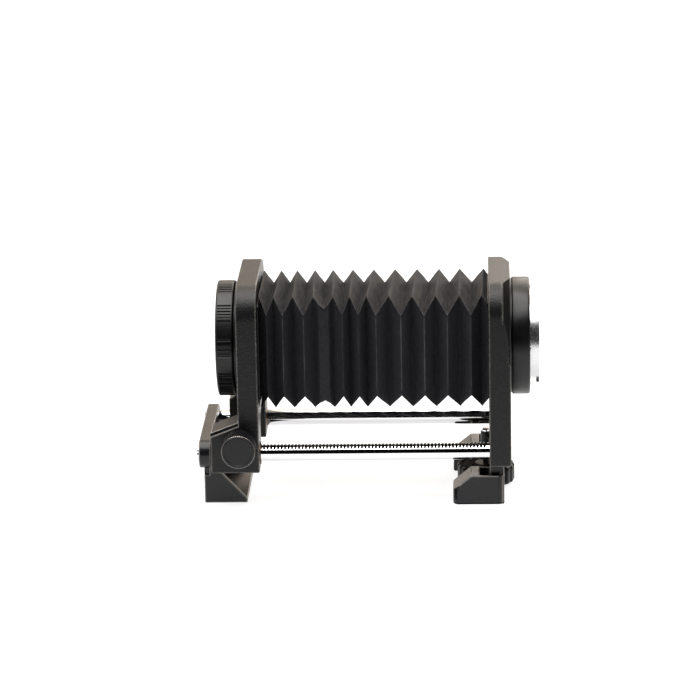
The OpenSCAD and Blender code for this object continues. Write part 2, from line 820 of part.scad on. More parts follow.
knob_gap = 0.6;
knob_r = knob_d / 2;
collar_len = 2.6;
collar_r = 6;
knob_y1 = outer_y - knob_gap;
knob_y0 = knob_y1 - collar_len - knob_len;
flute_r = 0.42;
knob_edge = 0.7;
knob_socket = 10;
shaft_y0 = knob_y1 - knob_socket;
clip_t = 0.8;
clip_r = 3.4;
clip_groove_r = 1.5;
clip_slot_share = 0.8;
clip_y = inner_y + side_gap;
shaft_y1 = clip_y + clip_t + side_gap;
bush_y0 = outer_y - side_gap;
bush_end = -rail_y - gear_room_len / 2;
bush2_y0 = -rail_y + gear_room_len / 2;

module pinion_bush(y0, y1) {
  difference() {
    along_y(y0, y1 - y0, shaft_bush_r, pinion_x, pinion_z);
    along_y(y0 - over, y1 - y0 + 2 * over, shaft_r + run_gap, pinion_x, pinion_z);
  }
}

module pinion_bushes() {
  color("goldenrod") {
    pinion_bush(bush_y0, bush_end);
    pinion_bush(bush2_y0, inner_y);
  }
}

module pinion_shaft() {
  color("silver")
    difference() {
      along_y(shaft_y0, shaft_y1 - shaft_y0, shaft_r, pinion_x, pinion_z);
      translate([pinion_x - shaft_r, clip_y - seat_gap, pinion_z - shaft_r])
        difference() {
          cube([2 * shaft_r, clip_t + 2 * seat_gap, 2 * shaft_r]);
          translate([shaft_r, -over, shaft_r])
            rotate([-90, 0, 0]) cylinder(h = clip_t + 2 * over, r = clip_groove_r);
        }
    }
}

module pinion_clip() {
  slot = 2 * clip_groove_r * clip_slot_share;
  color("black")
    difference() {
      along_y(clip_y, clip_t, clip_r, pinion_x, pinion_z);
      along_y(clip_y - over, clip_t + 2 * over, clip_groove_r + seat_gap, pinion_x, pinion_z);
      translate([pinion_x - slot / 2, clip_y - over, pinion_z - clip_r - over])
        cube([slot, clip_t + 2 * over, clip_r + over]);
    }
}

// Involute flank: the point where the unwound thread has turned by roll
function involute(roll) = [
  base_r * (cos(roll) + roll * PI / 180 * sin(roll)),
  base_r * (sin(roll) - roll * PI / 180 * cos(roll))
];
function roll_at(r) = r <= base_r ? 0 : sqrt(r * r / (base_r * base_r) - 1) * 180 / PI;
function turn(p, a) = [p[0] * cos(a) - p[1] * sin(a), p[0] * sin(a) + p[1] * cos(a)];

flank_steps = 5;
// Half of a tooth's angle on the pitch circle, less half of the play
tooth_half = 90 / pinion_teeth - backlash / 4 / pitch_r * 180 / PI;
flank_turn = tooth_half + atan2(involute(roll_at(pitch_r))[1], involute(roll_at(pitch_r))[0]);

function tooth_side() = concat(
  [turn([gear_root_r, 0], -flank_turn)],
  [for (k = [0:flank_steps]) turn(involute(roll_at(gear_tip_r) * k / flank_steps), -flank_turn)]
);
function tooth() = let (side = tooth_side(), n = len(side))
  concat(side, [for (k = [n - 1:-1:0]) [side[k][0], -side[k][1]]]);

module gear_profile() {
  polygon([for (i = [0:pinion_teeth - 1], p = tooth())
    turn(p, i * 360 / pinion_teeth - 90)]);
}

module pinion_gear() {
  color("goldenrod")
    difference() {
      translate([pinion_x, 0, pinion_z])
        beside(-rail_y - gear_len / 2, gear_len) gear_profile();
      along_y(-rail_y - gear_len, 2 * gear_len, shaft_r + seat_gap, pinion_x, pinion_z);
    }
}

module focus_knob() {
  color("black")
    difference() {
      union() {
        along_y(knob_y1 - collar_len, collar_len, collar_r, pinion_x, pinion_z);
        along_y(knob_y0 + knob_edge, knob_len - 2 * knob_edge, knob_r, pinion_x, pinion_z);
        along_y(knob_y0, knob_edge, knob_r - knob_edge, pinion_x, pinion_z, knob_r);
        along_y(knob_y0 + knob_len - knob_edge, knob_edge, knob_r, pinion_x, pinion_z,
                knob_r - knob_edge);
      }
      along_y(shaft_y0 - seat_gap, knob_socket + over, shaft_r + seat_gap, pinion_x, pinion_z);
      for (i = [0:knob_flutes - 1])
        translate([pinion_x, knob_y0 + knob_edge, pinion_z])
          rotate([0, i * 360 / knob_flutes, 0])
            translate([knob_r + flute_r * cut_share, -knob_edge - over, 0])
              rotate([-90, 0, 0])
                cylinder(h = knob_len + over + side_gap, r = flute_r, $fn = 13);
      translate([pinion_x, knob_y1 - collar_len / 2, pinion_z])
        cylinder(h = collar_r + over, r = knob_grub_r + seat_gap);
    }
}

knob_grub_r = 0.9;

module knob_grub_screw() {
  top = collar_r - side_gap;
  color("silver")
    translate([pinion_x, knob_y1 - collar_len / 2, pinion_z])
      difference() {
        translate([0, 0, shaft_r + seat_gap]) cylinder(h = top - shaft_r, r = knob_grub_r);
        translate([0, 0, top - knob_grub_r]) cylinder(h = over + knob_grub_r, r = knob_grub_r / 2, $fn = 6);
      }
}

/* Slide lock on the far carriage */

far_y = std_w / 2;
lock_shoe_len = 2;
lock_knob_r = 6;
lock_knob_len = 7;
lock_knob_gap = 0.8;
lock_knob_cap = 1;              // closed end of the knob
lock_flutes = 12;
lock_flute_r = 1;

module lock_shoe() {
  y0 = rail_y + rail_r + run_gap;
  color("goldenrod")
    along_y(y0, lock_shoe_len, lock_r, lock_x, rail_z);
}

module lock_screw() {
  y0 = rail_y + rail_r + run_gap + lock_shoe_len + run_gap;
  y1 = far_y + lock_knob_gap + lock_knob_len - lock_knob_cap;
  color("silver")
    along_y(y0, y1 - y0, lock_r, lock_x, rail_z);
}

module lock_knob() {
  y0 = far_y + lock_knob_gap;
  color("black")
    difference() {
      along_y(y0, lock_knob_len, lock_knob_r, lock_x, rail_z);
      along_y(y0 - over, lock_knob_len + over - lock_knob_cap, lock_r + seat_gap, lock_x,
              rail_z);
      for (i = [0:lock_flutes - 1])
        translate([lock_x, y0 - over, rail_z])
          rotate([0, i * 360 / lock_flutes, 0])
            translate([lock_knob_r + lock_flute_r * cut_share, 0, 0])
              rotate([-90, 0, 0])
                cylinder(h = lock_knob_len + 2 * over, r = lock_flute_r, $fn = 24);
    }
}

/* Tripod foot and its clamp */

foot_x0 = -foot_front;
foot_x1 = foot_x0 + foot_len;
foot_w = std_w - 2 * foot_inset;
wheel_room = 5.5;               // free space between the wheel and the foot's arms
foot_floor = 1.2;
foot_bevel_run = 9;
foot_bevel_drop = 7.4;
foot_boss_inset = 4;            // bosses that meet the legs, from the foot's side
foot_boss_len = 11;
foot_boss_w = 11;
foot_edge_r = 3;
tripod_bush_r = 5.4;
wheel_z0 = foot_floor + side_gap;
socket_roof = 1;
wheel_flute_share = 0.62;       // width of a flute, of the flutes' pitch

module foot_profile() {
  polygon([
    [foot_x0, 0], [foot_x1, 0], [foot_x1, foot_h],
    [foot_x0 + foot_bevel_run, foot_h], [foot_x0, foot_h - foot_bevel_drop]
  ]);
}

module tripod_foot() {
  inner = wheel_r + wheel_room;
  color("dimgray")
    difference() {
      union() {
        intersection() {
          beside(-foot_w / 2, foot_w) foot_profile();
          linear_extrude(foot_h)
            round_rect(foot_x0, -foot_w / 2, foot_x1, foot_w / 2, foot_edge_r);
        }
        // Bosses under the rear legs
        for (y = [-rail_y - foot_boss_w / 2, rail_y - foot_boss_w / 2])
          translate([rear_face_x, y, 0])
            cube([min(foot_x1, rear_back_x) - rear_face_x, foot_boss_w, leg_bottom]);
      }
      // The wheel's room between the arms, open above, in front and behind
      translate([foot_x0 - over, -inner, foot_floor])
        cube([foot_len + 2 * over, 2 * inner, foot_h]);
      translate([0, 0, -over])
        cylinder(h = foot_floor + 2 * over, r = tripod_bush_r + seat_gap);
    }
}

bush_top = wheel_z0 + wheel_h + side_gap;

module tripod_bush() {
  color("dimgray")
    difference() {
      cylinder(h = bush_top, r = tripod_bush_r);
      translate([0, 0, -over]) cylinder(h = socket_len + over, r = socket_r);
      translate([0, 0, socket_len + socket_roof])
        cylinder(h = bush_top, r = bolt_r + seat_gap);
    }
}

bolt_z0 = socket_len + socket_roof + side_gap;

module clamp_bolt() {
  color("gray")
    translate([0, 0, bolt_z0]) cylinder(h = lug_top - bolt_z0, r = bolt_r);
}

module clamp_bolt_cap() {
  slot_len = 2 * bolt_cap_r * cross_share;
  color("silver")
    translate([0, 0, lug_top])
      difference() {
        union() {
          cylinder(h = bolt_cap_h, r = bolt_cap_r);
          translate([0, 0, bolt_cap_h])
            cylinder(h = bolt_dome_h, r1 = bolt_cap_r, r2 = bolt_cap_r * dome_top_share);
        }
        for (a = [0, 90])
          rotate([0, 0, a])
            translate([-slot_len / 2, -cross_w / 2, bolt_cap_h])
              cube([slot_len, cross_w, bolt_dome_h + over]);
      }
}

module clamp_wheel() {
  flute = wheel_r * PI / wheel_flutes * wheel_flute_share;
  color("black")
    translate([0, 0, wheel_z0])
      difference() {
        cylinder(h = wheel_h, r = wheel_r);
        translate([0, 0, -over])
          cylinder(h = wheel_h + 2 * over, r = tripod_bush_r + run_gap);
        for (i = [0:wheel_flutes - 1])
          rotate([0, 0, i * 360 / wheel_flutes])
            translate([wheel_r + flute * cut_share, 0, -over])
              cylinder(h = wheel_h + 2 * over, r = flute, $fn = 24);
      }
}

rack_rail();
plain_rail();
end_bracket();
bracket_grub_screws();
rear_standard();
leg_grub_screws();
camera_ring();
camera_ring_screws();
camera_bayonet();
bayonet_screws();
rear_bellows_frame();
rear_frame_screws();
bellows();
front_bellows_frame();
front_frame_screws();
front_standard();
rack_rail_bushes();
plain_rail_bushes();
lens_flange();
lens_flange_screws();
lens_ring();
ring_retainer();
pinion_bushes();
pinion_shaft();
pinion_gear();
focus_knob();
knob_grub_screw();
pinion_clip();
lock_shoe();
lock_screw();
lock_knob();
tripod_foot();
tripod_bush();
clamp_bolt();
clamp_bolt_cap();
clamp_wheel();
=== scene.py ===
"""Macro bellows unit, dressed for a studio picture.

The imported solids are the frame. Pieces that show get their own meshes here, the rest keep
their solids and get a finish. All lengths are in metres.
"""
import json
import math

import bmesh
import bpy
from mathutils import Matrix, Vector


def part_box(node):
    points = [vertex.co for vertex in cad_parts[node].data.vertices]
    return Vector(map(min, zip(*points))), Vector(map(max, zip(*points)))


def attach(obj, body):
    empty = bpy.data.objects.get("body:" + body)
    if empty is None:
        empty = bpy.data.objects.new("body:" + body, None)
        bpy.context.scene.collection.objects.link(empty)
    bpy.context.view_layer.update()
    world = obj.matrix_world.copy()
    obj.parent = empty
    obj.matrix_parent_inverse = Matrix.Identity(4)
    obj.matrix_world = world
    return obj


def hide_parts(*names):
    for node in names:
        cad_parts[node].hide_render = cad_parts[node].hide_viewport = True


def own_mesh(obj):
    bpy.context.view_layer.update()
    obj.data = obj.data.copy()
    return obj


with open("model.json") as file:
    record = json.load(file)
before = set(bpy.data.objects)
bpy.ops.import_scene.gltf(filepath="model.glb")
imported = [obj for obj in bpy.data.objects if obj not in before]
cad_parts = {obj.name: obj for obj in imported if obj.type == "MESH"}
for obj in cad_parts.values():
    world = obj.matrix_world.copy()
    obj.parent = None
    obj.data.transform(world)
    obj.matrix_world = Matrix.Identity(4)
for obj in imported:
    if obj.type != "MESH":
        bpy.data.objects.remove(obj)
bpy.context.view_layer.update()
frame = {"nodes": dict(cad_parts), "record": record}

bl_info = {
    "name": "Macro bellows unit",
    "version": (1, 0, 0),
    "blender": (4, 5, 0),
    "location": "View3D > Sidebar > Bellows",
    "description": "Builds the castings, folded cloth, rings and knobs of a macro bellows unit",
    "category": "Object",
}

MM = 0.001


def span(node):
    """Lowest corner, highest corner and centre of a solid."""
    low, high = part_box(node)
    return low, high, (low + high) / 2


RING_LOW, _, RING_MID = span("lens_ring")
KNOB_LOW, _, KNOB_MID = span("focus_knob")
LOCK_LOW, _, LOCK_MID = span("lock_knob")
WHEEL_LOW, WHEEL_HIGH, WHEEL_MID = span("clamp_wheel")
CLOTH_LOW, CLOTH_HIGH, CLOTH_MID = span("bellows")
AXIS_Z = RING_MID.z
# The face of the rear standard that the rails run into
REAR_FACE_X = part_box("rear_standard")[1].x - 10.8 * MM
# The tripod foot between its arms: half its width, and how thick its floor is
FOOT_INNER, FOOT_FLOOR = 20 * MM, 1.2 * MM


def tone(code):
    """A linear colour from an sRGB hex code."""
    parts = [int(code[i:i + 2], 16) / 255 for i in (1, 3, 5)]
    return [c / 12.92 if c <= 0.04045 else ((c + 0.055) / 1.055) ** 2.4 for c in parts] + [1.0]


# Settings that a user would change

def length_setting(name, text, default, low, high):
    """A length, given in millimetres."""
    return bpy.props.FloatProperty(
        name=name, description=text, default=default * MM, min=low * MM, max=high * MM,
        unit="LENGTH", subtype="DISTANCE")


def count_setting(name, text, default, low, high):
    return bpy.props.IntProperty(name=name, description=text, default=default, min=low, max=high)


def colour_setting(name, text, code):
    return bpy.props.FloatVectorProperty(
        name=name, description=text, default=tone(code)[:3], size=3, min=0, max=1,
        subtype="COLOR")


class BellowsSizes(bpy.types.PropertyGroup):
    edge_width: length_setting(
        "Casting edge", "Width of the rounded edges on the castings", 0.6, 0.1, 1.5)
    cloth_thickness: length_setting(
        "Cloth thickness", "Thickness of the folded cloth", 0.7, 0.3, 1)
    cloth_softness: length_setting(
        "Cloth softness", "How far the panels of the cloth bulge and wrinkle", 0.35, 0, 1)
    panel_steps: count_setting(
        "Panel steps", "Rows of faces on each panel of the cloth", 5, 1, 10)
    ring_grips: count_setting("Ring grips", "Ribbed grips round the lens ring", 10, 3, 18)
    grip_depth: length_setting(
        "Grip depth", "Depth of the cuts between the ribs of the lens ring", 0.55, 0.1, 1)
    knob_ribs: count_setting("Knob ribs", "Ribs round the focusing knob", 48, 24, 72)
    wheel_lobes: count_setting("Wheel lobes", "Lobes round the clamp wheel", 20, 8, 30)


class BellowsColours(bpy.types.PropertyGroup):
    paint: colour_setting("Crinkle paint", "Paint on the two standards", "#0c0c0d")
    feet: colour_setting("Satin paint", "Paint on the end bracket and the tripod foot", "#0b0c10")
    cloth: colour_setting("Cloth", "Rubberised cloth of the bellows", "#0d0d14")
    worn: colour_setting("Worn folds", "Cloth where its folds are rubbed", "#605e61")
    floor: colour_setting("Floor", "Studio floor", "#969696")


def rgba(colour):
    return [*colour, 1.0]


# Node trees

def put(tree, kind, sockets=None, **settings):
    """Adds a node. Sockets are its inputs by name or number, each a value or an output."""
    node = tree.nodes.new(kind)
    for name, value in settings.items():
        setattr(node, name, value)
    for key, value in (sockets or {}).items():
        if isinstance(value, bpy.types.NodeSocket):
            tree.links.new(value, node.inputs[key])
        else:
            node.inputs[key].default_value = value
    return node


def maths(tree, operation, *values):
    return put(tree, "ShaderNodeMath", dict(enumerate(values)), operation=operation).outputs[0]


def finish_named(name, **shader_values):
    """A material with one principled shader, whose constants are set on its own sockets."""
    material = bpy.data.materials.new(name)
    material.use_nodes = True
    tree = material.node_tree
    tree.nodes.clear()
    shader = put(tree, "ShaderNodeBsdfPrincipled",
                 {k.replace("_", " "): v for k, v in shader_values.items()})
    put(tree, "ShaderNodeOutputMaterial", {"Surface": shader.outputs[0]})

    def coat(sockets):
        """Links outputs to the shader's sockets and hands over the material."""
        for key, value in sockets.items():
            tree.links.new(value, shader.inputs[key])
        return material
    return tree, coat


def painted(tree, name):
    """A value that the mesh carries in an attribute."""
    return put(tree, "ShaderNodeAttribute", attribute_name=name).outputs["Fac"]


def grain_at(tree, size, detail=2.0, stretch=(1, 1, 1), roughness=0.5):
    """Noise on Object coordinates whose grains measure size."""
    place = put(tree, "ShaderNodeTexCoord").outputs["Object"]
    scaled = put(tree, "ShaderNodeMapping", {"Vector": place, "Scale": stretch})
    return put(tree, "ShaderNodeTexNoise", {
        "Vector": scaled.outputs[0], "Scale": 1 / size, "Detail": detail, "Roughness": roughness,
    }).outputs["Fac"]


def ramp(tree, value, low, high, out_low=0.0, out_high=1.0):
    """A value run from low to high, clamped."""
    return put(tree, "ShaderNodeMapRange", {
        "Value": value, "From Min": low, "From Max": high, "To Min": out_low, "To Max": out_high,
    }).outputs[0]


def blend_colours(tree, share, first, second):
    return put(tree, "ShaderNodeMix", {0: share, 6: first, 7: second}, data_type="RGBA").outputs[2]


def raised(tree, height, depth, strength=1.0):
    """Bump of that depth from a height."""
    return put(tree, "ShaderNodeBump", {
        "Height": height, "Distance": depth, "Strength": strength}).outputs[0]


# Finishes

def crinkle_paint(colours):
    # Fine crinkle paint, stoved on die-cast aluminium. Its skin shrivels into grains of about
    # 0.5 mm, drawn at 0.8 mm so that they show, which break up every reflection. The edges are
    # smoother and painted a little lighter (edge 1), partly rubbed wear and partly a painted
    # highlight; those along the carriages' chamfers get a stronger painted highlight
    # (edge 1.6), while the chamfers and the sloping sides of the arch lose their reflection as
    # painted shade (edge below 0).
    tree, coat = finish_named("Crinkle paint on die-cast aluminium", IOR=1.37)
    grain = grain_at(tree, 0.8 * MM, 3, roughness=0.6)
    patch = grain_at(tree, 9 * MM, 2)
    edge = painted(tree, "edge")
    ground = blend_colours(tree, patch, rgba(colours.paint), tone("#121213"))
    speck = blend_colours(tree, ramp(tree, grain, 0.5, 0.72), ground, tone("#1e1d1d"))
    # Edges painted lighter: partly rubbed wear, partly a painted highlight
    lighter_share = maths(tree, "MULTIPLY", ramp(tree, edge, 0.1, 1),
                ramp(tree, grain, 0.35, 0.65, 0.1, 0.5))
    # A stronger painted highlight along the carriages' chamfers (edge 1.6)
    edge_wear_and_highlight = maths(tree, "MAXIMUM", lighter_share, ramp(tree, edge, 1.2, 1.6, 0, 0.8))
    return coat({
        "Base Color": blend_colours(tree, edge_wear_and_highlight, speck, tone("#83807c")),
        "Roughness": ramp(tree, edge, 0, 1, 0.33, 0.24),
        # Painted shade: faces marked below 0 keep almost no reflection
        "Specular IOR Level": ramp(tree, edge, -1, 0, 0.0, 0.5),
        "Normal": raised(tree, grain, 0.24 * MM, 0.9)})


def satin_paint(colours):
    # Satin paint on die-cast aluminium: even, a little cooler and smoother than the crinkle
    # paint, with a faint orange peel of about 1.2 mm and edges painted lighter, partly rubbed wear
    # and partly a painted highlight. Where the tripod foot curves under (edge below 0) its
    # reflection is taken away as painted shade.
    tree, coat = finish_named("Satin paint on die-cast aluminium", IOR=1.38)
    peel = grain_at(tree, 1.2 * MM, 1)
    patch = grain_at(tree, 14 * MM, 2)
    edge = painted(tree, "edge")
    ground = blend_colours(tree, patch, rgba(colours.feet), tone("#101116"))
    return coat({
        # Edges painted lighter: partly rubbed wear, partly a painted highlight
        "Base Color": blend_colours(tree, ramp(tree, edge, 0.4, 1, 0, 0.6), ground,
                                    tone("#8f8c89")),
        "Roughness": ramp(tree, patch, 0.3, 0.7, 0.24, 0.32),
        # Painted shade: almost no reflection where the foot curves under
        "Specular IOR Level": ramp(tree, edge, -1, 0, 0.04, 0.55),
        "Normal": raised(tree, peel, 0.03 * MM, 0.5)})


def anodised():
    # Black anodised aluminium, turned: a semi-gloss skin that keeps the fine tool lines, about
    # 0.2 mm apart and drawn at 0.4 mm.
    tree, coat = finish_named("Black anodised aluminium", Base_Color=tone("#08080a"), IOR=1.42)
    lines = grain_at(tree, 0.4 * MM, 1, stretch=(1, 0.06, 0.06))
    patch = grain_at(tree, 6 * MM, 2)
    return coat({
        "Roughness": ramp(tree, patch, 0.3, 0.7, 0.3, 0.38),
        "Normal": raised(tree, lines, 0.02 * MM, 0.4)})


def knob_skin():
    # The focusing knob: black anodised aluminium, bead blasted before anodising, so its face is
    # satin and cool grey in the light. Its ribs are duller, and bare where the rim is rubbed.
    tree, coat = finish_named("Blasted black anodised aluminium", IOR=1.38)
    band = painted(tree, "band")
    on_rim = maths(tree, "COMPARE", band, 0.7, 0.2)
    rim = maths(tree, "MULTIPLY", on_rim, ramp(tree, painted(tree, "crest"), 0.72, 0.96))
    grain = grain_at(tree, 0.5 * MM, 2)
    colour = blend_colours(tree, grain, tone("#0d0e12"), tone("#121318"))
    return coat({
        "Base Color": blend_colours(tree, rim, colour, tone("#a9a5a0")),
        "Metallic": rim,
        "Roughness": ramp(tree, band, 0.1, 1.0, 0.32, 0.55),
        "Specular IOR Level": ramp(tree, band, 0.75, 1.0, 0.5, 0.12),
        "Normal": raised(tree, grain, 0.02 * MM, 0.5)})


def moulded_plastic():
    # The clamp wheel: moulded black ABS with a soft gloss and the faint spark grain of its mould,
    # about 0.6 mm. Its lobes are polished by fingers, while its flat faces lose almost all their
    # reflection as painted shade.
    tree, coat = finish_named("Moulded black ABS", Base_Color=tone("#0a0a0c"), IOR=1.42)
    grain = grain_at(tree, 0.6 * MM, 2)
    return coat({
        "Roughness": ramp(tree, grain, 0.3, 0.7, 0.24, 0.34),
        # Painted shade: the flat faces (band 0) keep almost no reflection
        "Specular IOR Level": ramp(tree, painted(tree, "band"), 0.1, 1.0, 0.004, 0.5),
        "Normal": raised(tree, grain, 0.01 * MM, 0.4)})


def rubber_cloth(colours):
    # Rubberised cotton, folded: matt, with a weave of 0.35 mm drawn at 0.7 mm, grey where the
    # folds are rubbed, with painted shade down in the pleats.
    tree, coat = finish_named(
        "Rubberised bellows cloth", IOR=1.4, Sheen_Weight=0.03, Sheen_Roughness=0.5)
    fold, corner, top = (painted(tree, name) for name in ("ridge", "corner", "top"))
    weave = grain_at(tree, 0.7 * MM, 2, roughness=0.7)
    patch = grain_at(tree, 6 * MM, 3)
    # Rubbed along the ridges, least on top, and at the corners
    lighter_share = maths(tree, "MULTIPLY", ramp(tree, fold, 0.84, 1.0),
                ramp(tree, patch, 0.3, 0.62, 0.35, 1.0))
    corner_rub = maths(tree, "MULTIPLY", ramp(tree, corner, 0.975, 1.0),
                       ramp(tree, patch, 0.3, 0.6, 0.2, 0.8))
    side_rub = maths(tree, "MULTIPLY", lighter_share, ramp(tree, top, 0, 1, 1.0, 0.15))
    wear = maths(tree, "MAXIMUM", side_rub, corner_rub)
    # Lighter streaks lie on the top panels
    ground = blend_colours(tree, patch, rgba(colours.cloth), tone("#15151a"))
    streak = grain_at(tree, 1.4 * MM, 3, stretch=(1, 0.12, 1), roughness=0.7)
    top_streak_share = maths(tree, "MULTIPLY", top, ramp(tree, streak, 0.44, 0.64, 0.0, 0.55))
    top_streaked = blend_colours(tree, top_streak_share, ground, tone("#2e2d2c"))
    # Painted shade: darker down in the pleats
    deep = blend_colours(tree, ramp(tree, fold, -1.0, -0.4, 0.5, 0.0), top_streaked, tone("#050506"))
    gleam = maths(tree, "MULTIPLY", top, ramp(tree, streak, 0.4, 0.62, -0.1, 0.15))
    return coat({
        "Base Color": blend_colours(tree, wear, deep, rgba(colours.worn)),
        "Roughness": maths(tree, "ADD", ramp(tree, wear, 0, 1, 0.62, 0.5),
                           ramp(tree, streak, 0.35, 0.65, -0.08, 0.1)),
        "Specular IOR Level": maths(tree, "ADD", ramp(tree, top, 0, 1, 0.5, 0.23), gleam),
        "Normal": put(tree, "ShaderNodeBump", {
            "Height": weave, "Distance": 0.08 * MM, "Strength": 0.6,
            "Normal": raised(tree, streak, 0.3 * MM, 0.6)}).outputs[0]})


def chrome_plate():
    # Polished hard chrome on ground steel rails: a mirror with very faint grinding lines round
    # the rail, 0.3 mm apart. Down in the gaps of the rack it is rougher and painted dark, as
    # painted shade.
    tree, coat = finish_named("Polished chrome plate on steel", Metallic=1.0)
    lines = grain_at(tree, 0.3 * MM, 1, stretch=(1, 0.05, 0.05))
    gap = painted(tree, "gap")
    return coat({
        # Painted shade: dark and rougher down in the rack's gaps
        "Base Color": blend_colours(tree, gap, tone("#e4e4e6"), tone("#161413")),
        "Roughness": maths(tree, "ADD", ramp(tree, lines, 0.3, 0.7, 0.06, 0.1),
                           ramp(tree, gap, 0, 1, 0, 0.4)),
        "Normal": raised(tree, lines, 0.005 * MM, 0.3)})


def satin_chrome():
    # Satin chrome on brass: the bayonet's bearing faces, brushed in circles.
    tree, coat = finish_named(
        "Satin chrome plate on brass", Base_Color=tone("#d6d6d8"), Metallic=1.0)
    lines = grain_at(tree, 0.3 * MM, 1, stretch=(1, 0.3, 0.3))
    return coat({
        "Roughness": ramp(tree, lines, 0.3, 0.7, 0.22, 0.32),
        "Normal": raised(tree, lines, 0.01 * MM, 0.3)})


def turned_metal(name, light, dark, low, high):
    # Turned metal: fine tool lines of 0.25 mm and slight spots of tarnish over 4 mm.
    tree, coat = finish_named(name, Metallic=1.0)
    lines = grain_at(tree, 0.25 * MM, 1)
    spots = grain_at(tree, 4 * MM, 3)
    return coat({
        "Base Color": blend_colours(tree, ramp(tree, spots, 0.35, 0.7), tone(light), tone(dark)),
        "Roughness": ramp(tree, lines, 0.3, 0.7, low, high),
        "Normal": raised(tree, lines, 0.01 * MM, 0.4)})


def black_steel():
    # Blackened steel: an oiled oxide skin, dark grey with a low gloss.
    tree, coat = finish_named("Blackened steel", Metallic=0.6)
    spots = grain_at(tree, 2 * MM, 3)
    return coat({
        "Base Color": blend_colours(tree, spots, tone("#1c1c1e"), tone("#2a2a2c")),
        "Roughness": ramp(tree, spots, 0.3, 0.7, 0.35, 0.5)})


def studio_floor(colours):
    # Translucent white acrylic board, lit from below as for a cut-out picture, so shadows stay
    # faint. It ends 0.37 m ahead of the unit and has a very faint mottle of 60 mm.
    tree, coat = finish_named(
        "Lit opal acrylic board", Roughness=0.9, Emission_Color=tone("#ffffff"))
    mottle = grain_at(tree, 60 * MM, 2)
    colour = blend_colours(tree, ramp(tree, mottle, 0.3, 0.7), rgba(colours.floor),
                           tone("#929292"))
    ahead = put(tree, "ShaderNodeSeparateXYZ", {0: put(
        tree, "ShaderNodeTexCoord").outputs["Object"]}).outputs[1]
    lit = ramp(tree, ahead, -0.40, -0.34)
    return coat({
        "Base Color": blend_colours(tree, lit, tone("#0a0a0a"), colour),
        "Emission Strength": maths(tree, "MULTIPLY", lit, 0.86)})


FINISH = {}


def finish(slot):
    """The material for one of the record's slots, made once."""
    if slot not in FINISH:
        colours = bpy.context.scene.bellows_colours
        FINISH[slot] = {
            "crinkle_black": lambda: crinkle_paint(colours),
            "satin_black": lambda: satin_paint(colours),
            "anodised_black": anodised,
            "knob": knob_skin,
            "wheel_black": moulded_plastic,
            "bellows_cloth": lambda: rubber_cloth(colours),
            "chrome": chrome_plate,
            "chrome_seat": satin_chrome,
            "brass": lambda: turned_metal("Turned brass", "#7d5d3c", "#523b26", 0.38, 0.52),
            "steel": lambda: turned_metal("Bright turned steel", "#b9b9bc", "#98989c", 0.22, 0.36),
            "black_steel": black_steel,
            "floor": lambda: studio_floor(colours),
        }[slot]()
    return FINISH[slot]


# Making meshes

def link(name, mesh):
    piece = bpy.data.objects.new(name, mesh)
    bpy.context.scene.collection.objects.link(piece)
    return piece


def settle(piece):
    """Turns what the modifiers make into the piece's own plain mesh."""
    graph = bpy.context.evaluated_depsgraph_get()
    made = bpy.data.meshes.new_from_object(piece.evaluated_get(graph),
                                           preserve_all_data_layers=True, depsgraph=graph)
    piece.modifiers.clear()
    piece.data = made
    return piece


def smooth_by_angle(piece, degrees):
    piece.data.shade_smooth()
    piece.data.set_sharp_from_angle(angle=math.radians(degrees))


def dress(piece, slot, body, nodes, material=None):
    """Gives a finished piece its material, slot and body, and the solids it stands for."""
    piece.data.materials.clear()
    piece.data.materials.append(material or finish(slot))
    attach(piece, body)
    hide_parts(*nodes)


def face_outwards(mesh, merge=0.0):
    """Merges points that lie within that distance, and turns the faces outwards."""
    form = bmesh.new()
    form.from_mesh(mesh)
    if merge:
        bmesh.ops.remove_doubles(form, verts=form.verts, dist=merge)
    bmesh.ops.recalc_face_normals(form, faces=form.faces)
    form.to_mesh(mesh)
    form.free()


def about(axis, centre, start):
    """Local Z along the axis from start, and local X up, or along world X for an upright axis."""
    x, y, z = {"X": ((0, 0, 1), (0, -1, 0), (1, 0, 0)), "Y": ((0, 0, 1), (1, 0, 0), (0, 1, 0)),
               "Z": ((1, 0, 0), (0, 1, 0), (0, 0, 1))}[axis]
    place = Matrix((x, y, z)).transposed().to_4x4()
    origin = Vector(centre)
    origin["XYZ".index(axis)] = start
    place.translation = origin
    return place


def turned(name, profile, steps, place):
    """A closed ring or knob turned from a closed profile of (radius, along, band).
    Points whose band is 1 can be cut into grips."""
    count = len(profile)
    points, faces = [], []
    for i in range(steps):
        angle = 2 * math.pi * i / steps
        for radius, along, _ in profile:
            at = Vector((radius * math.cos(angle), radius * math.sin(angle), along))
            points.append(place @ (at * MM))
    for i in range(steps):
        j = (i + 1) % steps
        for k in range(count):
            m = (k + 1) % count
            faces.append((i * count + k, j * count + k, j * count + m, i * count + m))
    mesh = bpy.data.meshes.new(name)
    mesh.from_pydata(points, [], faces)
    band = mesh.attributes.new("band", "FLOAT", "POINT")
    band.data.foreach_set("value", [p[2] for p in profile] * steps)
    face_outwards(mesh, 1e-7)
    return link(name, mesh)


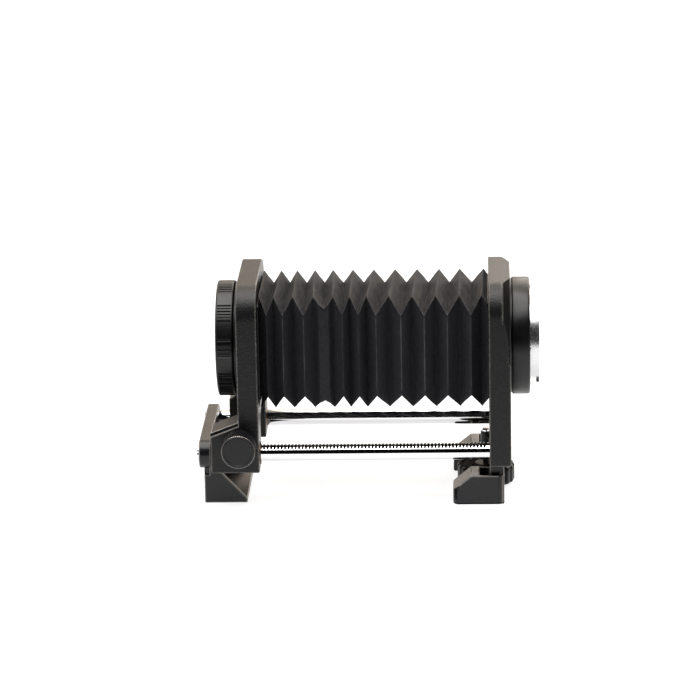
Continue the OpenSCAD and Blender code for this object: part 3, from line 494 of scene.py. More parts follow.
def new_tree(name, inputs):
    """A geometry tree with named inputs, the sockets they give and a function that ends it."""
    tree = bpy.data.node_groups.new(name, "GeometryNodeTree")
    tree.is_modifier = True
    for label, kind, default in (("Geometry", "Geometry", None), *inputs,
                                 ("Material", "Material", None)):
        socket = tree.interface.new_socket(label, in_out="INPUT",
                                           socket_type="NodeSocket" + kind)
        if default is not None:
            socket.default_value = default
    tree.interface.new_socket("Geometry", in_out="OUTPUT", socket_type="NodeSocketGeometry")
    use = put(tree, "NodeGroupInput").outputs

    def end(geometry):
        real = put(tree, "GeometryNodeRealizeInstances", {"Geometry": geometry})
        coated = put(tree, "GeometryNodeSetMaterial", {
            "Geometry": real.outputs[0], "Material": use["Material"]})
        put(tree, "NodeGroupOutput", {0: coated.outputs[0]})
    return tree, use, end


def apply_tree(piece, tree, values):
    """Adds the tree to a piece and sets its inputs by the sockets' identifiers."""
    modifier = piece.modifiers.new(tree.name, "NODES")
    modifier.node_group = tree
    names = {s.name: s.identifier for s in tree.interface.items_tree if s.in_out == "INPUT"}
    for label, value in values.items():
        modifier[names[label]] = value
    return modifier


def sums(tree):
    """Short names for a tree's commonest sums: times, plus and minus."""
    return [lambda *values, kind=kind: maths(tree, kind, *values)
            for kind in ("MULTIPLY", "ADD", "SUBTRACT")]


def vector_maths(tree, operation, sockets, out=0):
    return put(tree, "ShaderNodeVectorMath", sockets, operation=operation).outputs[out]


def read(tree, name, kind="FLOAT"):
    """A named attribute of the geometry."""
    return put(tree, "GeometryNodeInputNamedAttribute", {"Name": name}, data_type=kind).outputs[0]


def store(tree, geometry, name, value):
    """The geometry with a float attribute more on its points."""
    return put(tree, "GeometryNodeStoreNamedAttribute", {
        "Geometry": geometry, "Name": name, "Value": value},
        data_type="FLOAT", domain="POINT").outputs[0]


def position(tree):
    return put(tree, "GeometryNodeInputPosition").outputs[0]


def cut_grips_tree():
    """Cuts the band of a turned piece into groups of ribs: each point sinks towards the axis by
    a rounded groove, wherever its angle lies near the middle between two ribs."""
    made = bpy.data.node_groups.get("Cut grips")
    if made:
        return made
    tree, use, end = new_tree("Cut grips", [
        ("Centre", "Vector", None), ("Up", "Vector", (0, 0, 1)), ("Side", "Vector", (0, -1, 0)),
        ("Groups", "Int", 9), ("Ribs", "Int", 5), ("Step", "Float", 0.06), ("Turn", "Float", 0.38),
        ("Groove", "Float", 0.01), ("Depth", "Float", 0.0005)])
    times, plus, minus = sums(tree)
    out = vector_maths(tree, "SUBTRACT", {0: position(tree), 1: use["Centre"]})
    up, side = (vector_maths(tree, "DOT_PRODUCT", {0: out, 1: use[way]}, 1)
                for way in ("Up", "Side"))
    angle = maths(tree, "ARCTAN2", side, up)
    sector = maths(tree, "DIVIDE", 2 * math.pi, use["Groups"])
    half = times(sector, 0.5)
    turned_by = plus(minus(angle, use["Turn"]), half)
    local = minus(maths(tree, "FLOORED_MODULO", turned_by, sector), half)
    step_half = times(use["Step"], 0.5)
    within = maths(tree, "FLOORED_MODULO", local, use["Step"])
    off = maths(tree, "ABSOLUTE", minus(within, step_half))
    reach = plus(times(use["Ribs"], step_half), times(use["Groove"], 1.2))
    inside = maths(tree, "LESS_THAN", maths(tree, "ABSOLUTE", local), reach)
    groove = put(tree, "ShaderNodeMapRange", {
        "Value": off, "From Min": 0.0, "From Max": use["Groove"], "To Min": 1.0, "To Max": 0.0,
    }, interpolation_type="SMOOTHSTEP").outputs[0]
    sink = times(times(groove, inside), times(read(tree, "band"), times(use["Depth"], -1.0)))
    radial = vector_maths(tree, "ADD", {
        0: vector_maths(tree, "SCALE", {0: use["Up"], 3: maths(tree, "COSINE", angle)}),
        1: vector_maths(tree, "SCALE", {0: use["Side"], 3: maths(tree, "SINE", angle)})})
    moved = put(tree, "GeometryNodeSetPosition", {
        "Geometry": store(tree, use["Geometry"], "crest", minus(1.0, groove)),
        "Offset": vector_maths(tree, "SCALE", {0: radial, 3: sink})})
    end(moved.outputs[0])
    return tree


def cut_grips(piece, place, material, groups, ribs, step, turn, groove, depth):
    columns = place.to_3x3().transposed()
    apply_tree(piece, cut_grips_tree(), {
        "Centre": place.translation, "Up": columns[0], "Side": columns[1], "Groups": groups,
        "Ribs": ribs, "Step": math.radians(step), "Turn": math.radians(turn),
        "Groove": math.radians(groove), "Depth": depth, "Material": material})
    settle(piece)
    smooth_by_angle(piece, 34)


# Folded cloth. Ridges along the bellows at the near and the far upper corner, in millimetres,
# from the lens side, and the folds of the near side panel that lie between them.
NEAR_RIDGES = (-112.1, -104.9, -95.5, -85.2, -75.3, -67.2, -58.8, -47.7, -36.1, -24.4, -12.6, -1.5)
FAR_RIDGES = (-112.1, -103.5, -95.4, -86.3, -77.1, -67.0, -56.3, -45.4, -34.2, -23.0, -12.5, -0.3)
NEAR_FOLDS = (-108.4, -100.4, -89.9, -79.9, -70.6, -62.6, -54.0, -41.6, -30.0, -18.6, -6.9)
# How far each near fold has collapsed, in millimetres
SLACK = (0.5, 0.2, 0.3, 4.0, 0.4, 0.7, 0.3, 0.2, 0.2, 0.3, 0.4)
# A fold as slack as this one bends in an arc, through two more stations
ARC_FROM = 3.0
# How much deeper the valleys on top lie, at the lens end and at the camera end, how much more
# of that on the near side, and how far the tips sag below
VALLEY = ((1.5, 0.5), (2.2, 0.8))
TIP_SAG = 1.1


# What a station holds after its place along the bellows, and the unit of each
STATION_VALUES = {"half_width": MM, "half_height": MM, "lean": MM, "fold": 1, "slack": MM,
                  "drop": MM, "tilt": MM, "sag": MM}


def fold_stations():
    """The place along the bellows and then the station's values, for each station."""
    half_w = CLOTH_HIGH.y / MM
    half_h = (CLOTH_HIGH.z - AXIS_Z) / MM
    depth = 6.6
    ends = (half_w - depth / 2, half_h - depth / 2)
    rows = []
    for i, (near, far) in enumerate(zip(NEAR_RIDGES, FAR_RIDGES)):
        share = i / (len(NEAR_FOLDS) - 1)
        drop, tilt = (a + (b - a) * share for a, b in zip(*VALLEY))
        rows.append(((near + far) / 2, half_w - depth, half_h, (far - near) / 2, 1.0, 0.0,
                     0.0, 0.0, TIP_SAG))
        if i < len(NEAR_FOLDS):
            far_fold = (far + FAR_RIDGES[i + 1]) / 2
            rows.append(((NEAR_FOLDS[i] + far_fold) / 2, half_w, half_h - depth,
                         (far_fold - NEAR_FOLDS[i]) / 2, -1.0, SLACK[i], drop, tilt, 0.0))
    rows.append((CLOTH_HIGH.x / MM, *ends, 0.0, 0.0, 0.0, 0.0, 0.0, 0.0))
    full = [rows[0]]
    for before, after in zip(rows, rows[1:]):
        if max(before[5], after[5]) > ARC_FROM:
            middle = [(a + b) / 2 for a, b in zip(before, after)]
            full.append((*middle[:5], middle[5] - max(before[5], after[5]) / 4, *middle[6:]))
        full.append(after)
    return full


def folded_cloth_tree():
    """Sweeps a square along the stations, gives each ring its own width and height, leans and
    slackens it, and lays soft wrinkles over the panels."""
    tree, use, end = new_tree("Folded cloth", [
        ("Height", "Float", 0.08), ("Steps", "Int", 5), ("Softness", "Float", 0.0003),
        ("Wrinkle", "Float", 0.008), ("Seed", "Float", 7.0)])
    times, plus, minus = sums(tree)
    half_width, half_height, lean, fold, slack, drop, tilt, sag = (
        read(tree, name) for name in STATION_VALUES)
    spine = put(tree, "GeometryNodeMeshToCurve", {"Mesh": use["Geometry"]})
    fine = put(tree, "GeometryNodeSubdivideCurve", {
        "Curve": spine.outputs[0], "Cuts": minus(use["Steps"], 1)})
    square = put(tree, "GeometryNodeCurvePrimitiveQuadrilateral", {"Width": 2.0, "Height": 2.0})
    outline = put(tree, "GeometryNodeSubdivideCurve", {
        "Curve": square.outputs[0], "Cuts": times(use["Steps"], 3)})
    skin = put(tree, "GeometryNodeCurveToMesh", {
        "Curve": fine.outputs[0], "Profile Curve": outline.outputs[0]})
    x, y, z = put(tree, "ShaderNodeSeparateXYZ", {0: position(tree)}).outputs
    flat_y, flat_z = maths(tree, "ABSOLUTE", y), maths(tree, "ABSOLUTE", z)
    on_side = maths(tree, "GREATER_THAN", flat_y, minus(flat_z, 0.001))
    worn_less = minus(1.0, times(maths(tree, "MINIMUM", slack, 2 * MM), times(on_side, 250.0)))
    ridge = times(times(fold, worn_less), minus(1.0, times(on_side, 2.0)))
    corner = maths(tree, "MINIMUM", flat_y, flat_z)
    top = maths(tree, "GREATER_THAN", z, 0.97)
    marked = skin.outputs[0]
    for name, value in (("ridge", ridge), ("corner", corner), ("top", top)):
        marked = store(tree, marked, name, value)
    # A slack fold on the near side gives way: narrower there and taller at its corners
    near = maths(tree, "MAXIMUM", times(y, -1.0), 0.0)
    given_way = times(slack, near)
    upper, lower = maths(tree, "MAXIMUM", z, 0.0), maths(tree, "MINIMUM", z, 0.0)
    risen = times(given_way, plus(times(upper, 0.7), times(lower, 0.85)))
    valley = times(upper, minus(drop, times(tilt, y)))
    high = plus(times(z, half_height), plus(minus(risen, valley), times(lower, sag)))
    folded = put(tree, "ShaderNodeCombineXYZ", {
        0: plus(x, times(lean, y)), 1: times(y, minus(half_width, given_way)),
        2: plus(high, use["Height"])}).outputs[0]
    placed = put(tree, "GeometryNodeSetPosition", {"Geometry": marked, "Position": folded})
    # Wrinkles: none at the folds and the corners, most in the middle of a panel
    noise = put(tree, "ShaderNodeTexNoise", {
        "Vector": position(tree), "W": use["Seed"], "Detail": 1.5,
        "Scale": maths(tree, "DIVIDE", 1.0, use["Wrinkle"])}, noise_dimensions="4D").outputs[0]
    calm = minus(1.0, maths(tree, "POWER", maths(tree, "ABSOLUTE", fold), 2.0))
    open_part = minus(1.0, maths(tree, "POWER", corner, 6.0))
    swell = times(times(minus(noise, 0.5), use["Softness"]), times(times(calm, open_part), 4.0))
    soft = put(tree, "GeometryNodeSetPosition", {
        "Geometry": placed.outputs[0],
        "Offset": vector_maths(tree, "SCALE", {
            0: put(tree, "GeometryNodeInputNormal").outputs[0], 3: swell})})
    end(soft.outputs[0])
    return tree


def screw_heads_tree():
    """Sets a cross-slotted head on every point of the piece, turned by the point's own turn."""
    made = bpy.data.node_groups.get("Screw heads")
    if made:
        return made
    tree, use, end = new_tree("Screw heads", [
        ("Radius", "Float", 0.0017), ("Height", "Float", 0.0009), ("Slot", "Float", 0.0004)])
    radius, height, slot = (use[name] for name in ("Radius", "Height", "Slot"))
    cut = put(tree, "GeometryNodeMeshCone", {
        "Vertices": 20, "Radius Top": maths(tree, "MULTIPLY", radius, 0.86),
        "Radius Bottom": radius, "Depth": height}).outputs["Mesh"]
    long_way = maths(tree, "MULTIPLY", radius, 1.2)
    lift = put(tree, "ShaderNodeCombineXYZ", {2: height}).outputs[0]
    for size in ((long_way, slot), (slot, long_way)):
        block = put(tree, "ShaderNodeCombineXYZ", {0: size[0], 1: size[1], 2: height})
        bar = put(tree, "GeometryNodeMeshCube", {"Size": block.outputs[0]})
        placed = put(tree, "GeometryNodeTransform", {
            "Geometry": bar.outputs[0], "Translation": lift})
        tool = put(tree, "GeometryNodeMeshBoolean", {"Mesh 1": cut}, operation="DIFFERENCE")
        tree.links.new(placed.outputs[0], tool.inputs["Mesh 2"])
        cut = tool.outputs[0]
    heads = put(tree, "GeometryNodeInstanceOnPoints", {
        "Points": put(tree, "GeometryNodeMeshToPoints", {"Mesh": use["Geometry"]}).outputs[0],
        "Instance": cut, "Rotation": read(tree, "turn", "FLOAT_VECTOR")})
    end(heads.outputs[0])
    return tree


# Operators, one for each piece or group of like pieces

class BELLOWS_OT_castings(bpy.types.Operator):
    """Makes the painted castings: two standards, end bracket and tripod foot"""
    bl_idname = "bellows.castings"
    bl_label = "Castings"
    NODES = (("front_standard", "front", "crinkle_black"),
             ("rear_standard", "base", "crinkle_black"),
             ("end_bracket", "base", "satin_black"),
             ("tripod_foot", "base", "satin_black"))
    # The raised arch behind the rear standard: how deep it is, and where it starts
    ARCH_DEPTH, ARCH_Z = 3.9 * MM, 73 * MM

    def execute(self, context):
        width = context.scene.bellows_sizes.edge_width
        for node, body, slot in self.NODES:
            piece = link(node + "_casting", self.rounded(node, width))
            smooth_by_angle(piece, 30)
            weigh = piece.modifiers.new("Flat faces stay flat", "WEIGHTED_NORMAL")
            weigh.keep_sharp = True
            settle(piece)
            dress(piece, slot, body, [node])
        return {"FINISHED"}

    def pockets(self, node):
        """Boxes cut from the tripod foot, in millimetres: the front strip of its floor, and a
        pocket on top of each arm in front of the leg and beside the boss that carries it."""
        if node != "tripod_foot":
            return []
        low, high, _ = span(node)
        x0, x1, top = low.x / MM, high.x / MM, high.z / MM + 1
        leg, inner = REAR_FACE_X / MM, FOOT_INNER / MM
        arm_top, deep, near_wall, boss = 15.1, 10.1, -low.y / MM - 1.9, 33.2
        boxes = [((x0 - 1, -inner, -1), (x0 + 6.2, inner, FOOT_FLOOR / MM))]
        for corners in (((-3.2, 21.9, deep), (leg, near_wall, top)),
                        ((-3.2, boss, deep), (x1 - 1.9, near_wall, top)),
                        ((leg - 0.1, boss, arm_top), (x1 + 1, 38, top))):
            (a, b, c), (d, e, f) = corners
            boxes += [corners, ((a, -e, c), (d, -b, f))]
        return boxes

    def cut_boxes(self, blank, boxes):
        """The mesh without the boxes."""
        piece = link("casting_blank", blank)
        tools = []
        for low, high in boxes:
            form = bmesh.new()
            bmesh.ops.create_cube(form, size=1)
            for vertex in form.verts:
                vertex.co = [(b if c > 0 else a) * MM for c, a, b in zip(vertex.co, low, high)]
            mesh = bpy.data.meshes.new("cutter")
            form.to_mesh(mesh)
            form.free()
            tools.append(link("cutter", mesh))
            cut = piece.modifiers.new("Cut", "BOOLEAN")
            cut.operation, cut.solver, cut.object = "DIFFERENCE", "EXACT", tools[-1]
        settle(piece)
        made = piece.data
        for spent in (piece, *tools):
            bpy.data.objects.remove(spent)
        return made

    def rounded(self, node, width):
        """A copy of the solid's mesh, merged, with its long edges rounded and marked."""
        low, high, _ = span(node)
        form = bmesh.new()
        form.from_mesh(frame["nodes"][node].data)
        bmesh.ops.remove_doubles(form, verts=form.verts, dist=1e-6)
        boxes = self.pockets(node)
        if boxes:
            blank = bpy.data.meshes.new("casting_blank")
            form.to_mesh(blank)
            form.clear()
            form.from_mesh(self.cut_boxes(blank, boxes))
            bmesh.ops.remove_doubles(form, verts=form.verts, dist=1e-6)
        bmesh.ops.dissolve_limit(form, angle_limit=math.radians(0.6), verts=form.verts,
                                 edges=form.edges)
        if node == "tripod_foot":
            # The thin floor parts from the arms, so that only the arms are rounded below
            for side in (-1, 1):
                bmesh.ops.bisect_plane(form, geom=[*form.verts, *form.edges, *form.faces],
                                       dist=1e-5, plane_co=(0, side * FOOT_INNER, 0),
                                       plane_no=(0, 1, 0))
        mark = form.faces.layers.float.new("edge")
        done = form.faces.layers.int.new("done")
        # Wide edges first: under the foot, then the chamfer along the top of the carriages and the
        # chamfer's own edges. The mark each gets, and its kind: -1 is painted shade, 1 is painted
        # lighter as rubbed wear and a painted highlight, 1.6 a stronger painted highlight
        passes = ((self.under_foot, 1.0 * MM, 4, -1.0, 1), (self.on_carriage, 1.7 * MM, 1, -1.0, 2),
                  (self.beside_chamfer, 0.4 * MM, 2, 1.6, 1), (self.is_long, width, 3, 1.0, 1))
        for chosen, wide, segments, rubbed, kind in passes:
            sharp = [e for e in form.edges if e.is_manifold
                     and e.calc_face_angle() > math.radians(32)
                     and chosen(node, e, high, {f[done] for f in e.link_faces})]
            if not sharp:
                continue
            made = bmesh.ops.bevel(form, geom=sharp, offset=wide, offset_type="OFFSET",
                                   segments=segments, profile=0.5, affect="EDGES",
                                   clamp_overlap=False)
            for face in made["faces"]:
                # The arch's edges are not painted lighter
                face[mark] = 0.1 if self.on_arch(node, face, high) else rubbed
                face[done] = kind
        for face in form.faces:
            # Painted shade: the sloping sides of the arch lose almost all their reflection
            if (face[done] == 0 and 0.15 < abs(face.normal.x) < 0.97
                    and self.on_arch(node, face, high)):
                face[mark] = -0.95
        for vertex in form.verts:
            vertex.co = [min(max(c, a), b) for c, a, b in zip(vertex.co, low, high)]
        mesh = bpy.data.meshes.new(node + "_casting")
        form.to_mesh(mesh)
        form.free()
        if not mesh.polygons:
            raise RuntimeError(f"{node} came out empty")
        return mesh

    def on_arch(self, node, face, high):
        at = face.calc_center_median()
        return (node == "rear_standard" and at.x > high.x - self.ARCH_DEPTH
                and at.z > self.ARCH_Z)

    def under_foot(self, node, edge, high, kinds):
        """The outline of the tripod foot's arms on the ground."""
        a, b = (v.co for v in edge.verts)
        return (node == "tripod_foot" and max(a.z, b.z) < 0.05 * MM
                and abs(a.y + b.y) / 2 > FOOT_INNER + 0.1 * MM)

    def on_carriage(self, node, edge, high, kinds):
        """The sloping outer edges on top of the two carriages."""
        low_end, high_end = sorted((v.co for v in edge.verts), key=lambda c: c.z)
        rise, run = high_end.z - low_end.z, abs(high_end.x - low_end.x)
        return (node == "front_standard" and rise > 3 * MM and run > 5 * MM
                and abs(abs(low_end.y) - high.y) < 0.1 * MM)

    def beside_chamfer(self, node, edge, high, kinds):
        return kinds == {0, 2} and edge.calc_length() > 3 * MM

    def is_long(self, node, edge, high, kinds):
        """Edges of screw holes are too small to round, the foot's floor too thin."""
        a, b = (v.co for v in edge.verts)
        thin = (node == "tripod_foot" and max(a.z, b.z) < FOOT_FLOOR + 0.1 * MM
                and max(abs(a.y), abs(b.y)) < FOOT_INNER + 0.05 * MM)
        return kinds == {0} and edge.calc_length() > 0.6 * MM and not thin


class BELLOWS_OT_cloth(bpy.types.Operator):
    """Makes the folded cloth of the bellows"""
    bl_idname = "bellows.cloth"
    bl_label = "Folded cloth"

    def execute(self, context):
        sizes = context.scene.bellows_sizes
        rows = fold_stations()
        mesh = bpy.data.meshes.new("bellows_cloth")
        mesh.from_pydata([(row[0] * MM, 0, 0) for row in rows],
                         [(i, i + 1) for i in range(len(rows) - 1)], [])
        for column, (name, unit) in enumerate(STATION_VALUES.items(), start=1):
            values = mesh.attributes.new(name, "FLOAT", "POINT")
            values.data.foreach_set("value", [row[column] * unit for row in rows])
        piece = link("bellows_cloth", mesh)
        apply_tree(piece, folded_cloth_tree(), {
            "Height": AXIS_Z, "Steps": sizes.panel_steps, "Softness": sizes.cloth_softness,
            "Wrinkle": 9 * MM, "Seed": 7.0, "Material": finish("bellows_cloth")})
        settle(piece)
        form = bmesh.new()
        form.from_mesh(piece.data)
        bmesh.ops.recalc_face_normals(form, faces=form.faces)
        outwards = sum(f.normal.dot(f.calc_center_median() - CLOTH_MID) for f in form.faces)
        if outwards < 0:
            bmesh.ops.reverse_faces(form, faces=form.faces)
        form.to_mesh(piece.data)
        form.free()
        wall = piece.modifiers.new("Wall", "SOLIDIFY")
        wall.thickness = sizes.cloth_thickness
        wall.offset = -1
        crease = piece.modifiers.new("Soft folds", "BEVEL")
        crease.width = 0.28 * MM
        crease.segments = 2
        crease.limit_method = "ANGLE"
        crease.angle_limit = math.radians(28)
        settle(piece)
        smooth_by_angle(piece, 50)
        dress(piece, "bellows_cloth", "base", ["bellows"])
        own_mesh(piece)
        return {"FINISHED"}


class BELLOWS_OT_lens_ring(bpy.types.Operator):
    """Turns the lens ring and cuts its grips"""
    bl_idname = "bellows.lens_ring"
    bl_label = "Lens ring"

    def execute(self, context):
        sizes = context.scene.bellows_sizes
        place = about("X", RING_MID, RING_LOW.x)
        profile = ((27.7, 0, 0), (28.5, 0, 0), (28.9, 0.2, 0), (29.2, 0.7, 0), (29.2, 0.95, 0),
                   (29.2, 1.05, 1), (29.2, 7.75, 1), (29.2, 7.85, 0), (29.2, 8.2, 0),
                   (28.95, 8.7, 0), (28.5, 9, 0), (26.25, 9, 0), (26.25, 3.4, 0), (27.7, 3.4, 0))
        piece = turned("lens_ring_turned", profile, 720, place)
        cut_grips(piece, place, finish("anodised_black"), sizes.ring_grips, 5, 3.3, 13.8, 0.85,
                  sizes.grip_depth)
        dress(piece, "anodised_black", "lens_ring", ["lens_ring"])
        return {"FINISHED"}


class BELLOWS_OT_turned_rings(bpy.types.Operator):
    """Turns the flange behind the lens ring, the camera ring and the plain rail"""
    bl_idname = "bellows.turned_rings"
    bl_label = "Flange, camera ring and plain rail"

    def execute(self, context):
        self.turn("lens_flange", "lens_flange_turned", 180, "anodised_black", "front", (
            (23.6, 0.3), (23.9, 0), (25.9, 0), (26.2, 0.3), (26.2, 7.4), (28.3, 7.4),
            (28.75, 7.55), (28.9, 7.85), (28.9, 8.1), (28.65, 8.2), (28.65, 8.5), (28.9, 8.6),
            (28.9, 9.2), (24, 9.2), (24, 8.2), (23.6, 8.2)))
        self.turn("camera_ring", "camera_ring_turned", 180, "anodised_black", "base", (
            (24, 0), (28.8, 0), (28.8, 0.75), (28.95, 0.8), (29.35, 0.95), (29.55, 1.2),
            (29.6, 1.5), (29.6, 8.6), (29.5, 9.15), (29.2, 9.6), (28.7, 9.8), (27.42, 9.8),
            (27.42, 7.6), (24, 7.6)))
        low, high, _ = span("plain_rail")
        long = (high.x - low.x) / MM
        self.turn("plain_rail", "plain_rail_ground", 96, "chrome", "base", (
            (0, 0), (3.45, 0), (3.8, 0.1), (4.05, 0.3), (4.2, 0.65), (4.2, long), (0, long)))
        return {"FINISHED"}

    def turn(self, node, name, steps, slot, body, profile):
        """A piece along X that no grips are cut into, from (radius, along) in millimetres."""
        low, _, middle = span(node)
        piece = turned(name, [(radius, along, 0) for radius, along in profile], steps,
                       about("X", middle, low.x))
        smooth_by_angle(piece, 32)
        dress(piece, slot, body, [node])


class BELLOWS_OT_rack_rail(bpy.types.Operator):
    """Grinds the rail that carries the rack and cuts the gaps between its teeth"""
    bl_idname = "bellows.rack_rail"
    bl_label = "Rack rail"

    PITCH, DEPTH, MOUTH, ROOT = 1.75, 1.5, 0.62, 0.44
    # The teeth run across the rail at an angle
    LEAN = math.tan(math.radians(12))

    def execute(self, context):
        low, high, middle = span("rack_rail")
        x0, x1, radius = low.x / MM, high.x / MM, (high.z - low.z) / 2 / MM
        gear = span("pinion_gear")[2].x / MM
        first = math.ceil((x0 + 2 * self.PITCH - gear) / self.PITCH)
        last = math.floor((REAR_FACE_X / MM - self.PITCH - gear) / self.PITCH)
        # along, radius, height of the cut, whether the strip up to the next ring is in a gap,
        # and how far the ring leans
        rings = [(x0, radius - 0.75, radius, 0, 0), (x0 + 0.1, radius - 0.4, radius, 0, 0),
                 (x0 + 0.3, radius - 0.15, radius, 0, 0), (x0 + 0.65, radius, radius, 0, 0)]
        root = radius - self.DEPTH
        for i in range(first, last + 1):
            x = gear + i * self.PITCH
            rings += [(x - self.MOUTH, radius, radius, 1, self.LEAN),
                      (x - self.ROOT, radius, root, 1, self.LEAN),
                      (x + self.ROOT, radius, root, 1, self.LEAN),
                      (x + self.MOUTH, radius, radius, 0, self.LEAN)]
        rings.append((x1, radius, radius, 0, 0))
        sides = 80
        turns = [2 * math.pi * (k + 0.5) / sides for k in range(sides)]
        points = [((x + lean * r * math.cos(a)) * MM, middle.y + r * math.cos(a) * MM,
                   middle.z + min(r * math.sin(a), cut) * MM)
                  for x, r, cut, _, lean in rings for a in turns]
        faces, gaps = [], []
        for i in range(len(rings) - 1):
            for k in range(sides):
                m = (k + 1) % sides
                faces.append((i * sides + k, i * sides + m, (i + 1) * sides + m,
                              (i + 1) * sides + k))
                height = min(math.sin(turns[k]), math.sin(turns[m])) * radius
                gaps.append(1.0 if rings[i][3] and height > root else 0.0)
        faces += [tuple(range(sides))[::-1],
                  tuple(range((len(rings) - 1) * sides, len(rings) * sides))]
        mesh = bpy.data.meshes.new("rack_rail_ground")
        mesh.from_pydata(points, [], faces)
        mesh.attributes.new("gap", "FLOAT", "FACE").data.foreach_set("value", gaps + [0.0, 0.0])
        face_outwards(mesh)
        piece = link("rack_rail_ground", mesh)
        smooth_by_angle(piece, 25)
        dress(piece, "chrome", "base", ["rack_rail"])
        return {"FINISHED"}


class BELLOWS_OT_focus_knob(bpy.types.Operator):
    """Turns the focusing knob and cuts its ribs"""
    bl_idname = "bellows.focus_knob"
    bl_label = "Focusing knob"

    def execute(self, context):
        ribs = context.scene.bellows_sizes.knob_ribs
        place = about("Y", KNOB_MID, KNOB_LOW.y)
        profile = ((0, 0.2, 0), (6.7, 0.2, 0), (6.95, 0, 0), (7.75, 0, 0), (8.3, 0.35, 0.7),
                   (8.5, 0.75, 1), (8.5, 1.3, 1), (8.5, 11.7, 1), (8.3, 12.2, 0.7),
                   (7.8, 12.5, 0), (6.0, 12.5, 0), (6.0, 15.1, 0), (2.05, 15.1, 0),
                   (2.05, 5.2, 0), (0, 5.2, 0))
        piece = turned("focus_knob_turned", profile, ribs * 10, place)
        cut_grips(piece, place, finish("knob"), 1, ribs, 360 / ribs, 0, 2.4, 0.4 * MM)
        dress(piece, "anodised_black", "pinion", ["focus_knob"], finish("knob"))
        return {"FINISHED"}


class BELLOWS_OT_lock_knob(bpy.types.Operator):
    """Turns the slide lock's knob and cuts its flutes"""
    bl_idname = "bellows.lock_knob"
    bl_label = "Lock knob"

    def execute(self, context):
        place = about("Y", LOCK_MID, LOCK_LOW.y)
        profile = ((0, 6.0, 0), (2.05, 6.0, 0), (2.05, 0, 0), (5.3, 0, 0), (5.8, 0.25, 0),
                   (5.98, 0.8, 1), (5.98, 6.2, 1), (5.8, 6.75, 0), (5.3, 7, 0), (0, 7, 0))
        piece = turned("lock_knob_turned", profile, 12 * 16, place)
        cut_grips(piece, place, finish("knob"), 1, 12, 30, 0, 9, 0.8 * MM)
        dress(piece, "anodised_black", "lock", ["lock_knob"], finish("knob"))
        return {"FINISHED"}


class BELLOWS_OT_clamp_wheel(bpy.types.Operator):
    """Moulds the clamp wheel with its lobes"""
    bl_idname = "bellows.clamp_wheel"
    bl_label = "Clamp wheel"

    def execute(self, context):
        lobes = context.scene.bellows_sizes.wheel_lobes
        place = about("Z", WHEEL_MID, WHEEL_LOW.z)
        high = (WHEEL_HIGH.z - WHEEL_LOW.z) / MM
        profile = ((5.45, 0, 0), (13.2, 0, 0), (14.1, 0.3, 1), (14.45, 1.0, 1),
                   (14.45, high - 1, 1), (14.1, high - 0.3, 1), (13.2, high, 0), (12.2, high, 0),
                   (11.8, high - 0.4, 0), (7.6, high - 0.4, 0), (7.2, high, 0), (5.45, high, 0))
        piece = turned("clamp_wheel_moulded", profile, lobes * 16, place)
        cut_grips(piece, place, finish("wheel_black"), 1, lobes, 360 / lobes, 0, 6.2, 1.5 * MM)
        dress(piece, "wheel_black", "wheel", ["clamp_wheel"])
        return {"FINISHED"}


class BELLOWS_OT_screws(bpy.types.Operator):
    """Sets the screws of the camera bayonet and of the frames that hold the cloth"""
    bl_idname = "bellows.screws"
    bl_label = "Screws"

    def execute(self, context):
        high = span("bayonet_screws")[1]
        ring = [(25.4 * math.sin(math.radians(t)), 25.4 * math.cos(math.radians(t)))
                for t in (0, 90, 180, 270)]
        self.heads("bayonet_screws", "base", high.x - 0.46 * MM, 1, ring,
                   {"Radius": 1.66 * MM, "Height": 0.9 * MM, "Slot": 0.4 * MM})
        # Heads on the frames are low, so the cloth clears them when it is folded up
        for end, body, side in (("front", "front", 1), ("rear", "base", -1)):
            low, high, middle = span(end + "_frame_screws")
            face = span(end + "_bellows_frame")[1 if side > 0 else 0].x - side * 0.1 * MM
            reach = [((high - middle)[i] / MM - 1.7) for i in (1, 2)]
            corners = [(y * reach[0], z * reach[1]) for y in (-1, 1) for z in (-1, 1)]
            self.heads(end + "_frame_screws", body, face, side, corners,
                       {"Radius": 1.7 * MM, "Height": 0.5 * MM, "Slot": 0.4 * MM})
        return {"FINISHED"}

    def heads(self, node, body, face, side, places, sizes):
        """Heads that face along X at (y, z) in millimetres from the optical axis."""
        mesh = bpy.data.meshes.new(node + "_heads")
        mesh.from_pydata([(face, y * MM, AXIS_Z + z * MM) for y, z in places], [], [])
        turn = mesh.attributes.new("turn", "FLOAT_VECTOR", "POINT")
        tip = Matrix.Rotation(math.radians(90 * side), 3, "Y")
        for i, item in enumerate(turn.data):
            spin = Matrix.Rotation(math.radians(i * 153 + 20), 3, "X")
            item.vector = (spin @ tip).to_euler()
        piece = link(node + "_heads", mesh)
        apply_tree(piece, screw_heads_tree(), {**sizes, "Material": finish("steel")})
        settle(piece)
        smooth_by_angle(piece, 30)
        dress(piece, "steel", body, [node])


class BELLOWS_OT_metalwork(bpy.types.Operator):
    """Gives each solid that stays as it is the finish of its slot"""
    bl_idname = "bellows.metalwork"
    bl_label = "Rails, rings and small parts"

    def execute(self, context):
        for row in frame["record"]["subparts"]:
            node = frame["nodes"][row["node"]]
            node.data.materials.clear()
            node.data.materials.append(finish(row["material_slot"]))
        return {"FINISHED"}


